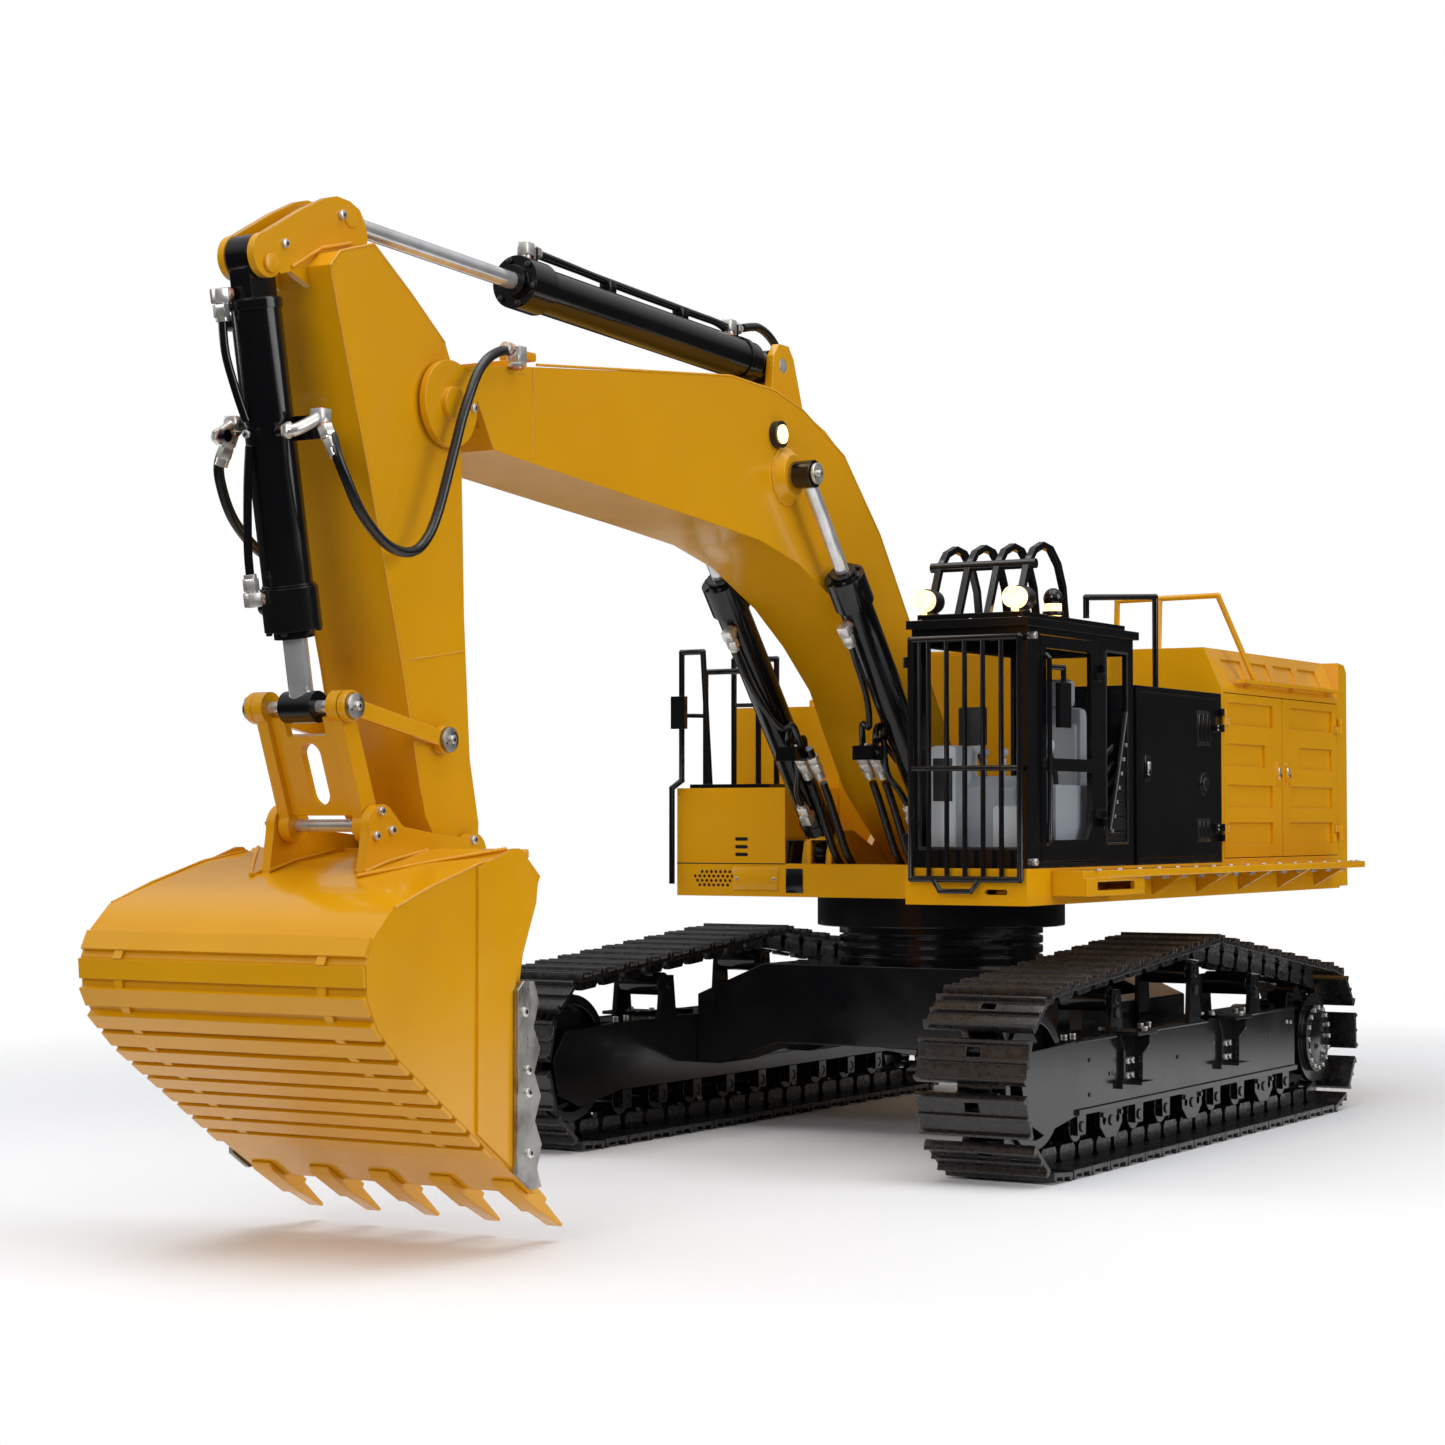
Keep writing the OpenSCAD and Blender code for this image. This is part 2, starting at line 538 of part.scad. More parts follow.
module pump_housing() color(black) difference() {
    union() {
        difference() {
            box([66, pump_y[0], sill_z], [house_left, pump_y[1], pump_top]);
            box([66 + sheet, pump_y[0] + sheet, sill_z - 1], [house_left - sheet, pump_y[1] - sheet, pump_top - sheet]);
        }
        hood_knuckles(pump_hinge_y);
    }
    box([house_left - 8, pump_y[0] + 3, sill_z + 3], [house_left + 0.5, pump_y[1] - 5, pump_top - 3]);
}
module pump_door() color(black) {
    side_door(pump_y[0] + 3.4, pump_y[1] - 5.4, sill_z + 3.4, pump_top - 3.4, pump_hinge_y);
    door_latch(-27, 187);
}

module oil_tank() color(yellow) {
    difference() {
        box([-house_right, -20, deck_z + skirt], [-50, 73, 222]);
        box([-house_right + sheet, -20 + sheet, deck_z + 6], [-50 - sheet, 73 - sheet, 222 - sheet]);
        translate([-80, 20, 210]) cylinder(r = 7, h = 30);
        box([-house_right - 1, -21, deck_z], [-house_right + skirt, 80, sill_z]);
    }
    translate([-80, 20, 219.5]) difference() {
        union() {
            cylinder(r = 7 - fit, h = 3);
            translate([0, 0, 2.5]) cylinder(r = 9, h = 5);
        }
        translate([0, 0, -1]) cylinder(r = 4, h = 5);
    }
}

module toolbox() color(yellow) difference() {
    box([-house_right, front_y, sill_z], [-49, -23, 178]);
    box([-house_right + sheet, front_y + sheet, sill_z - 1], [-49 - sheet, -23 - sheet, 178 - sheet]);
    for (z = [143.5, 147.5, 151.5]) translate([0, front_y - 1, z]) hull() for (x = [-78, -72])
        translate([x, 0, 0]) rotate([-90, 0, 0]) cylinder(r = 0.9, h = 6, $fn = 24);
}

rail_r = 1.5;
module handrails_black() color(black) {
    bar([[-116, front_y - 2, 128], [-116, front_y - 2, 178], [-110, front_y - 2, 182], [-110, front_y - 2, 249],
        [-97, front_y - 2, 249], [-97, front_y + 5, 180]], rail_r);
    bar([[-102, front_y + 9, 180], [-102, front_y + 9, 239], [-70, front_y + 9, 239], [-70, front_y + 9, 180]], rail_r);
    bar([[-96, -52, 180], [-96, -52, 246], [-70, -52, 246], [-70, -52, 180]], rail_r);
    bar_piece([-96, -52, 222], [-70, -52, 222], 1.1);
    bar_piece([-110, front_y - 2, 216], [-102, front_y + 9, 216], 1.1);
    box([-108, front_y + 3, 178], [-60, -26, 180]);
    translate([-115, front_y - 5, 209]) cube([8.5, 3, 17]);
    bar([[124, -6, pump_top], [124, -6, 274], [124, -92, 268], [124, -92, 258]], rail_r);
}

module handrails_yellow() color(yellow) {
    bar([[65.4, 81.6, hood_z[2] + 0.1], [66, 82, 280], [122, 86, 281], [131.5, 116, 235.5]], rail_r);
    bar_piece([90, 83.7, 280.4], [90, 82, hood_z[2] + 0.1], rail_r - 0.2);
    difference() {
        box([house_left - 2, 96, 234.5], [133.5, 256, 236.5]);
        box([house_left - 6, 90, 230], [house_left - 0.4, 260, 240]);
    }
    for (y = [110, 180, 240]) box([house_left - 0.5, y, 232.5], [house_left + 1.5, y + 3, 235]);
}

// ---- cab
module cab_window_front(d) box([cab_x[0] + post - d, cab_y[0] - 5, 148 - d], [cab_x[1] - post + d, cab_y[0] + 5, 245 + d]);
module cab_window_side(x, y0, y1, z0, z1, d) box([x - 5, y0 - d, z0 - d], [x + 5, y1 + d, z1 + d]);
module cab_window_back(d) box([cab_x[0] + post - d, cab_y[1] - 5, 165 - d], [cab_x[1] - post + d, cab_y[1] + 5, 243 + d]);
cab_door_y = [-151, -87];
cab_door_z = [142, 246.5];

module cab_frame() color(black) {
    difference() {
        union() {
            box([cab_x[0], cab_y[0], cab_z[0]], [cab_x[1], cab_y[1], cab_z[1]]);
            for (z = [158, 232]) {
                translate([hinge_x, cab_hinge_y, z]) cylinder(r = 1.4, h = 4, $fn = 24);
                box([cab_x[1] - 1, cab_hinge_y - 0.8, z], [hinge_x, cab_hinge_y + 0.8, z + 4]);
            }
        }
        box([cab_x[0] + sheet, cab_y[0] + sheet, cab_z[0] + sheet], [cab_x[1] - sheet, cab_y[1] - sheet, cab_z[1] + 1]);
        cab_window_front(0);
        cab_window_back(0);
        cab_window_side(cab_x[0], -152, -56, 165, 243, 0);
        cab_window_side(cab_x[1], -76, -50, 150, 243, 0);
        box([cab_x[1] - 5, cab_door_y[0] - 0.6, cab_door_z[0] - 0.6], [cab_x[1] + 0.5, cab_door_y[1] + 0.6, cab_door_z[1] + 0.6]);
    }
    for (i = [0:5]) translate([cab_x[1] - 1.6, 0, 0]) slab([[-76, 150 + i * 8], [-76, 152 + i * 8], [-64, 158 + i * 8],
        [-64, 156 + i * 8]], 1.4);
}
module cab_pane(axis, at, a, b) {
    g = 0.05;
    if (axis == "x") box([at - 0.6, a[0] + g, a[1] + g], [at + 0.6, b[0] - g, b[1] - g]);
    else box([a[0] + g, at - 0.6, a[1] + g], [b[0] - g, at + 0.6, b[1] - g]);
}
module cab_glass() color([0.6, 0.7, 0.75, 0.35]) {
    cab_pane("y", cab_y[0] + 1.25, [cab_x[0] + post, 148], [cab_x[1] - post, 245]);
    cab_pane("y", cab_y[1] - 1.25, [cab_x[0] + post, 165], [cab_x[1] - post, 243]);
    cab_pane("x", cab_x[0] + 1.25, [-152, 165], [-56, 243]);
    cab_pane("x", cab_x[1] - 1.9 - 1, [-64, 150], [-50, 243]);
}

hoop_x = [75, 90, 105, 120];
hoop_bar = 3;                   // hoops are bent from square bar
hoop_path = [[-163, 0], [-152, 24], [-144, 32], [-134, 35.5], [-124, 34], [-115, 27], [-109, 16], [-106, 0]];
hoop_turn = [-20, -32, -58, -90, -122, -140, -160, 180];
module cab_roof() color(black) {
    difference() {
        union() {
            floor_plan([[cab_x[0] - 1, cab_y[0] - 4], [cab_x[0] - 1, cab_y[1] + 3], [cab_x[1] + 2, cab_y[1] + 3],
                [cab_x[1] + 2, cab_y[0] - 4]], [cab_z[1], cab_z[1] + 4]);
            floor_plan([[cab_x[0] + 2, cab_y[0] + 2], [cab_x[0] + 2, cab_y[1] - 3], [cab_x[1] - 3, cab_y[1] - 3],
                [cab_x[1] - 3, cab_y[0] + 2]], [cab_z[1] + 3, cab_z[1] + 7]);
        }
        box([cab_x[0] + 10, -148, cab_z[1] - 1], [cab_x[1] - 10, -112, cab_z[1] + 2]);
    }
    translate([0, 0, cab_z[1] + 6]) {
        for (x = hoop_x) slab(concat(hoop_path, [for (i = [len(hoop_path) - 1:-1:0])
            hoop_path[i] + hoop_bar * unit(hoop_turn[i])]), hoop_bar, x);
        xcyl([-150, 24], 2.3, hoop_x[3] - hoop_x[0] + 9, (hoop_x[0] + hoop_x[3]) / 2);
    }
}

module cab_front_guard() color(black) {
    y = guard_hinge[1];
    x0 = guard_hinge[0];
    bar([[95, y - 0.5, 134], [x0 + 2.5, y - 0.5, 134], [x0 + 2.5, y - 0.5, 245], [126, y - 0.5, 245],
        [126, y - 0.5, 134], [95, y - 0.5, 134]], 1.5);
    for (i = [1:5]) bar_piece([x0 + 2.5 + i * 9.25, y - 0.5, 134], [x0 + 2.5 + i * 9.25, y - 0.5, 245], 1.2);
    bar_piece([x0 + 2.5, y - 0.5, 185], [126, y - 0.5, 185], 1.3);
    bar([[82, y - 0.8, 134], [86, y - 2, 128.5], [102, y - 2, 128.5], [106, y - 0.8, 134]], 1.2);
    for (z = [150, 232]) {
        translate([x0, y, z]) cylinder(r = 1.6, h = 5, $fn = 24);
        box([x0, y - 1.2, z], [x0 + 3, y, z + 5]);
    }
}

module cab_door() color(black) {
    x0 = cab_x[1] - 2.4;
    x1 = cab_x[1] + 0.2;
    difference() {
        box([x0, cab_door_y[0], cab_door_z[0]], [x1, cab_door_y[1], cab_door_z[1]]);
        box([x0 - 1, cab_door_y[0] + 6, 190], [x1 + 1, cab_door_y[1] - 6, 241]);
        slab([[cab_door_y[0] + 6, 160], [cab_door_y[0] + 6, 184], [cab_door_y[1] - 6, 184], [cab_door_y[1] - 6, 160],
            [cab_door_y[1] - 12, 152], [cab_door_y[0] + 14, 152]], 20, x0);
    }
    for (z = [162.2, 227.8]) {
        translate([hinge_x, cab_hinge_y, z]) cylinder(r = 1.4, h = 4, $fn = 24);
        box([cab_x[1] + 0.1, cab_door_y[1] - 4, z], [hinge_x, cab_hinge_y + 0.3, z + 4]);
    }
    bar([[x1 + 0.4, -147, 150], [x1 + 2.4, -147, 152], [x1 + 2.4, -147, 236], [x1 + 0.4, -147, 238]], 1.2);
    bar([[x1 + 2.4, -147, 232], [x1 + 4.5, -136, 232], [x1 + 4.5, -136, 224]], 1.3);
    box([x1 + 3.2, -142, 204], [x1 + 5.8, -130, 225]);
    translate([x1, -146, 188]) rotate([0, 90, 0]) cylinder(r = 2, h = 1.4, $fn = 24);
}
module cab_door_glass() color([0.6, 0.7, 0.75, 0.35]) {
    g = 0.05;
    box([cab_x[1] - 1.8, cab_door_y[0] + 6 + g, 190 + g], [cab_x[1] - 0.8, cab_door_y[1] - 6 - g, 241 - g]);
    slab(inset([[cab_door_y[0] + 6, 160], [cab_door_y[0] + 6, 184], [cab_door_y[1] - 6, 184],
        [cab_door_y[1] - 6, 160], [cab_door_y[1] - 12, 152], [cab_door_y[0] + 14, 152]], g), 1, cab_x[1] - 1.3);
}

module driver_seat() color("#c8ccd2") {
    box([84, -96, 141.5], [112, -72, 156]);
    box([84, -104, 156], [112, -72, 166]);
    slab([[-78, 166], [-74, 206], [-66, 210], [-66, 166]], 26, 98);
    for (x = [76, 114.5]) box([x, -120, 141.5], [x + 6, -84, 178]);
    slab([[-146, 141.5], [-150, 176], [-140, 182], [-132, 178], [-132, 141.5]], 34, 96);
}

module lamp(p, r, depth) translate(p) rotate([90, 0, 0]) {
    difference() {
        cylinder(r = r, h = depth);
        translate([0, 0, depth - 1.4]) cylinder(r = r - 0.8, h = 3);
    }
    translate([0, 0, depth - 1.4]) cylinder(r = r - 0.85, h = 0.9);
}
module lamps() color("#f6e3a8") {
    for (x = [74, 121]) {
        lamp([x, cab_y[0] + 4, cab_z[1] + 13.5], 5, 7);
        translate([x, cab_y[0] + 1, cab_z[1] + 7]) cylinder(r = 1.4, h = 2.2, $fn = 24);
    }
    translate([123, -128, cab_z[1] + 7]) cylinder(r = 4, h = 9);
}

// ---- drive parts inside the house
module hydraulic_pump() color(steel) {
    translate([-20, 110, deck_z + skirt + 22]) rotate([-90, 0, 0]) cylinder(r = 18, h = 56);
    box([-34, 104, deck_z + skirt], [-6, 110, deck_z + skirt + 42]);
    box([-32, 88, deck_z + skirt], [-8, 104, deck_z + skirt + 30]);
}
module battery() color("#2d5fa8") box([-44, 192, deck_z + skirt], [48, 244, deck_z + skirt + 44]);
module valve_block() color(steel) {
    box([-24, 34, deck_z + skirt], [24, 60, deck_z + skirt + 22]);
    for (x = [-18:9:18]) translate([x, 47, deck_z + skirt + 22]) cylinder(r = 3, h = 14);
}
module radio_receiver() color("#3a3d42") {
    box([62, 200, deck_z + skirt], [92, 236, deck_z + skirt + 16]);
    bar_piece([66, 204, deck_z + skirt + 16], [66, 204, deck_z + skirt + 80], 0.9);
}
module slew_motor() color(steel) translate([40, 12, deck_z + skirt]) {
    cylinder(r = 9, h = 34);
    translate([0, 0, 34]) cylinder(r = 6, h = 8);
}

// ================================================================ boom

module boom() color(yellow) difference() {
    fork_x = boom_w / 2 - plate;
    union() {
        slab(boom_outline, boom_w);
        xcyl(boom_nose, 17, boom_w);
        for (s = [-1, 1]) {
            slab([[-199, 352], [-195, 380], [-190, 386], [-181, 386], [-176, 380], [-160, 338]], 4, s * 8.6);
            xcyl(boom_nose, 6.5, 2.2, s * (boom_w / 2 + 1.1));
            translate([s * boom_w / 2, boom_eye[0], boom_eye[1]]) rotate([0, s * 90, 0])
                cylinder(r1 = 14, r2 = 9.5, h = 4.5);
        }
        slab([[-424, 340], [-424, 345.5], [-418, 346.5], [-418, 340]], boom_w + 1);
    }
    slab(inset(boom_outline, plate), boom_w - 2 * plate);
    // the fork at the nose, open for the stick
    intersection() {
        union() {
            box([-fork_x, -500, boom_nose[1]], [fork_x, fork_end[0], 360]);
            box([-fork_x, -500, 280], [fork_x, fork_end[1], boom_nose[1] + 0.1]);
        }
        union() {
            slab(boom_outline, 60);
            xcyl(boom_nose, 19, 60);
        }
    }
    xcyl(boom_nose, nose_pin_r + fit, boom_w - 0.8);
    xcyl(boom_foot, foot_pin_r + fit, 80);
    xcyl(boom_eye, eye_pin_r + fit, 100);
    xcyl(stick_cyl_foot, eye_pin_r + fit, 40);
}

module boom_lamps() color("#f6e3a8") both_sides() translate([boom_w / 2, -216, 339]) rotate([0, 90, 0]) {
    cylinder(r = 5.5, h = 3);
    translate([0, 0, 3]) cylinder(r = 4.4, h = 1.2);
}

module pin(c, r, w, head, wider) {
    xcyl(c, r, w);
    for (s = [-1, 1]) xcyl(c, r + wider, head, s * (w / 2 + head / 2));
}
module boom_pins() color(nickel) {
    xcyl(boom_foot, foot_pin_r, 2 * 27.2 + 4);
    xcyl(boom_nose, nose_pin_r, boom_w - 1);
    xcyl(stick_cyl_foot, eye_pin_r, 21);
    pin(boom_eye, eye_pin_r, 2 * boom_cyl_x + 10, 1.6, 1.5);
}

// ---- hydraulic cylinders: eye, rod and piston; barrel, gland and foot eye
module rod_part(eye, foot, x, rod_r, piston_r, reach, eye_w, eye_r, pin_r) {
    difference() {
        union() {
            xcyl(eye, eye_r, eye_w, x);
            aim(eye, foot, x) {
                cylinder(r = rod_r, h = reach);
                translate([0, 0, reach - 7]) cylinder(r = piston_r, h = 7);
            }
        }
        xcyl(eye, pin_r + fit, eye_w + 2, x);
    }
}
// The barrel's last stretch, of length neck, is slim enough to pass between the plates at its foot
module barrel_part(eye, foot, x, rod_r, bore_r, out_r, start, chamber, eye_w, eye_r, neck) {
    total = norm(foot - eye);
    difference() {
        union() {
            aim(eye, foot, x) {
                translate([0, 0, start]) cylinder(r = out_r, h = total - start - neck);
                translate([0, 0, start]) cylinder(r = out_r + 1.6, h = 16);
                translate([0, 0, start - 3]) cylinder(r = rod_r + 3, h = 4);
                translate([0, 0, total - neck - 1]) cylinder(r = eye_w / 2 - 0.3, h = neck + 3 - eye_r);
            }
            xcyl(foot, eye_r, eye_w, x);
        }
        aim(eye, foot, x) {
            translate([0, 0, start - 4]) cylinder(r = rod_r + fit, h = 20);
            translate([0, 0, start + 12]) cylinder(r = bore_r + fit, h = chamber);
        }
    }
}

module boom_cylinder_rods() color(steel) both_sides()
    rod_part(boom_eye, cyl_foot, boom_cyl_x, 3.4, 5.8, 128, 9, 6.5, eye_pin_r);
module boom_cylinder_barrels() color(black) both_sides() {
    barrel_part(boom_eye, cyl_foot, boom_cyl_x, 3.4, 5.8, 8.2, 57.5, 100, 8.4, 8, 14);
    pipe_clamp([-124, 194], boom_cyl_x - 12);
    bar_piece([boom_cyl_x - 12, -122, 196], [boom_cyl_x - 7.2, -112, 203.6], 1.2);
}
module pipe_clamp(c, x) box([x - 6, c[0] - 4, c[1] - 3.5], [x + 5, c[0] + 8, c[1] + 3.5]);

module stick_cylinder_rod() color(steel)
    rod_part(stick_cyl_eye, stick_cyl_foot, 0, 3.6, 6.4, 210, cheek_gap - 1.4, 6, eye_pin_r - 0.5);
module stick_cylinder_barrel() color(black) {
    difference() {
        barrel_part(stick_cyl_eye, stick_cyl_foot, 0, 3.6, 6.4, 9.6, 120, 170, 12.6, 8, 16);
        xcyl(stick_cyl_foot, eye_pin_r + fit, 30);
    }
    aim(stick_cyl_eye, stick_cyl_foot) {
        for (z = [131, 296]) translate([0, -9.6 + (z > 200 ? 0 : -1.5), z]) rotate([90, 0, 0]) cylinder(r = 3, h = 5.2);
        bar_piece([0, -14.4, 134], [0, -13.4, 293], 1.6);
    }
}

// ---- stick and bucket linkage
module stick() color(yellow) difference() {
    union() {
        slab(stick_outline, stick_w);
        xcyl(boom_nose, 17, stick_w);
        for (s = [-1, 1]) {
            slab(cheek_outline, cheek_t, s * (cheek_gap + cheek_t) / 2);
            xcyl(bucket_cyl_top, 8.3, cheek_t, s * (cheek_gap + cheek_t) / 2);
            xcyl(link_stick, 5, 1.2, s * (stick_w / 2 + 0.1));
        }
    }
    difference() {
        slab(inset(stick_outline, plate), stick_w - 2 * plate);
        xcyl(boom_nose, 10, stick_w);
        xcyl(link_stick, 6, stick_w);
        xcyl(bucket_hinge, 8, stick_w);
    }
    xcyl(boom_nose, nose_pin_r + fit, 80);
    xcyl(link_stick, link_pin_r + fit, 80);
    xcyl(bucket_hinge, link_pin_r + 1 + fit, 80);
}

module bucket_cylinder_rod() color(steel)
    rod_part(link_top, bucket_cyl_top, 0, 4.6, 6.6, 116, 15, 6, link_pin_r);
module bucket_cylinder_barrel() color(black) {
    barrel_part(link_top, bucket_cyl_top, 0, 4.6, 6.6, 9.2, 29, 94, cheek_gap - 1, 8, 15);
    aim(link_top, bucket_cyl_top) {
        for (z = [38, 143]) translate([-8, 0, z]) rotate([0, -90, 0]) cylinder(r = 3, h = 5.5);
        bar_piece([-12, 2, 40], [-12, 2, 141], 1.6);
        box([-13, 8, 98], [13, 13.5, 107]);
        // lug between the cheeks
        box([0.8 - cheek_gap / 2, -7.2, 149], [cheek_gap / 2 - 0.8, 7.2, 161]);
    }
}

// A flat link between two pins, its waist narrower than its ends
module link_plate(a, b, ra, rb, t, x, waist) difference() {
    union() {
        xcyl(a, ra, t, x);
        xcyl(b, rb, t, x);
        slab(bar_outline(a, b, ra * waist, rb * waist), t, x);
    }
    xcyl(a, link_pin_r + fit, 2 * t, x);
    xcyl(b, link_pin_r + fit, 2 * t, x);
}
function bar_outline(a, b, wa, wb) = let (n = edge_normal(a, b)) [a + n * wa, a - n * wa, b - n * wb, b + n * wb];

idler_link_x = stick_w / 2 + 2.4;
module idler_links() color(yellow) for (s = [-1, 1])
    link_plate(link_stick, link_top, 5.6, 6, 3, s * idler_link_x, 0.55);
module link_pins() color(nickel) {
    pin(link_stick, link_pin_r, 2 * idler_link_x + 3.2, 1.6, 2.3);
    pin(link_top, link_pin_r, 2 * idler_link_x + 3.2, 1.6, 2.3);
}

arm_x = 17.6;                   // middle of the bucket link's arms
link_dir = (bucket_ear - link_top) / norm(bucket_ear - link_top);
module bucket_link() color(yellow) difference() {
    union() {
        for (s = [-1, 1]) link_plate(link_top, bucket_ear, 6, 6.4, 5, s * arm_x, 0.7);
        slab(bar_outline(link_top + 3.6 * link_dir, bucket_ear - 4.6 * link_dir, 1.6, 1.6), 2 * arm_x);
    }
    slab(bar_outline(link_top, link_top + 11 * link_dir, 4, 4), 18.4);
    hull() for (t = [19, 34]) let (c = link_top + t * link_dir)
        translate([0, c[0] - 8, c[1]]) rotate([-90, 0, 0]) cylinder(r = 4.5, h = 16, $fn = 32);
}

// ================================================================ bucket

bucket_ear_x = arm_x + 4.9;
module bucket_ear_plate(s) difference() {
    x = s * bucket_ear_x;
    union() {
        slab([bucket_ear + [-7.6, 2.4], bucket_ear + [5, 6.2], [-499, 158.6], [-482, 156.4], bucket_hinge + [-5, 6.2],
            bucket_hinge + [7.9, 1], bucket_hinge + [6, -6], [-468, 138.5], [-480, 147], [-508, 143],
            [-523, 139], [-520.2, 156]], 4, x);
        xcyl(bucket_ear, 8, 4, x);
        xcyl(bucket_hinge, 8, 4, x);
    }
    // bores closed on the outside
    xcyl(bucket_ear, link_pin_r + fit, 4, x - s * 0.6);
    xcyl(bucket_hinge, link_pin_r + 1 + fit, 4, x - s * 0.6);
}
// Points spaced evenly along the bucket's back, with the outward heading
back_points = [for (i = [bucket_back[0]:bucket_back[1]]) bucket_outline[i]];
function path_len(p, i = 0) = i >= len(p) - 1 ? 0 : norm(p[i + 1] - p[i]) + path_len(p, i + 1);
function path_at(p, s, i = 0) = let (d = norm(p[i + 1] - p[i]))
    s <= d || i == len(p) - 2 ? concat(p[i] + (p[i + 1] - p[i]) * s / d,
        [atan2(p[i + 1][1] - p[i][1], p[i + 1][0] - p[i][0])]) : path_at(p, s - d, i + 1);
bar_pitch = path_len(back_points) / wear_bars;
module on_back(i) let (at = path_at(back_points, i * bar_pitch))
    translate([0, at[0], at[1]]) rotate([at[2], 0, 0]) children();

module bucket() color(yellow) union() {
    difference() {
        slab(bucket_outline, bucket_w);
        slab(inset(concat([bucket_outline[0] + [11, -9]], [for (i = [1:12]) bucket_outline[i]],
            [lip + 10 * unit(lip_angle)]), -bucket_t), bucket_w - 2 * bucket_t);
    }
    for (i = [0:wear_bars - 1]) on_back(i + 0.5)
        box([0.3 - bucket_w / 2, -0.36 * bar_pitch, -1.8], [bucket_w / 2 - 0.3, 0.36 * bar_pitch, bucket_t / 2]);
    for (i = [1:wear_bars - 1], s = [-1, 1]) on_back(i)
        box([s * 47 - 2, -0.2 * bar_pitch, -1.4], [s * 47 + 2, 0.2 * bar_pitch, bucket_t / 2]);
    for (s = [-1, 1]) {
        bucket_ear_plate(s);
        slab(side_plate, 1.2, s * (bucket_w / 2 + 0.4));
    }
}

// Local Y runs along the lip plate towards the ground, local Z into the bucket
module tooth() {
    slab([[-11, -1], [-8, -2.4], [13, -1.9], [13, 4.4], [4, 5.2], [-7, 4.9], [-9, 3.6],
        [-9, bucket_t + 0.05], [0.3, bucket_t + 0.05], [0.3, -0.05], [-11, -0.05]], 9.6);
    slab([[12, -1.2], [29.6, 0.4], [29.6, 1.6], [12, 3.8]], 7);
}
cutter_outline = [[-488, 30], [-488, 98], [-484, 101.5], [-477, 101], [-474, 93], [-477.5, 84], [-473, 76],
    [-477, 67], [-472.5, 58], [-476.5, 49], [-472, 40], [-475, 31], [-472, 24], [-478, 23.5]];
module bucket_wear_parts() {
    color(yellow) for (x = tooth_x) translate([x, lip[0], lip[1]]) rotate([lip_angle, 0, 0]) tooth();
    color(steel) both_sides() slab(cutter_outline, 2.2, bucket_w / 2 + 2.1);
}
module bucket_pins() color(nickel) {
    xcyl(bucket_ear, link_pin_r, 2 * bucket_ear_x + 2.6);
    xcyl(bucket_hinge, link_pin_r + 1, 2 * bucket_ear_x + 2.6);
}

// ================================================================ hoses

module hose_loop_left() color(black) hose(loop_left, hose_d);
module hose_loop_right() color(black) hose(loop_right, hose_d);
module stick_hose() color(black) hose(stick_route, hose_d);
module boom_hoses() color(black) for (x = [-21, -14, 14, 21])
    hose([for (p = deck_route) [x, p[0], p[1]]], hose_d);

// ================================================================ the parts by name

car_body();
track_frames();
track_shoes_left();
track_shoes_right();
track_links();
sprocket_left();
sprocket_right();
idler_wheel_left();
idler_wheel_right();
track_rollers();
roller_guards();
track_steps();
final_drives();
slew_ring();
slew_turret();
house_deck();
walkway();
counterweight();
engine_hood();
oil_tank();
toolbox();
handrails_black();
handrails_yellow();
cab_frame();
cab_glass();
cab_roof();
cab_front_guard();
cab_door();
cab_door_glass();
driver_seat();
lamps();
pump_housing();
pump_door();
engine_door_front();
engine_door_rear();
hydraulic_pump();
battery();
valve_block();
radio_receiver();
slew_motor();
boom();
boom_lamps();
boom_pins();
boom_cylinder_rods();
boom_cylinder_barrels();
stick();
stick_cylinder_rod();
stick_cylinder_barrel();
bucket_cylinder_rod();
bucket_cylinder_barrel();
idler_links();
link_pins();
bucket_link();
bucket();
bucket_wear_parts();
bucket_pins();
hose_loop_left();
hose_loop_right();
stick_hose();
boom_hoses();
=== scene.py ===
"""A radio-controlled hydraulic excavator on tracks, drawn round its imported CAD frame.

Sizes are in millimetres in the CAD frame (+X the cab side, -Y forward, +Z up), and become metres
in the mesh helpers. The studio and the noise scales are in metres.
"""

import json
import math
import random

import bmesh
import bpy
from mathutils import Matrix, Vector

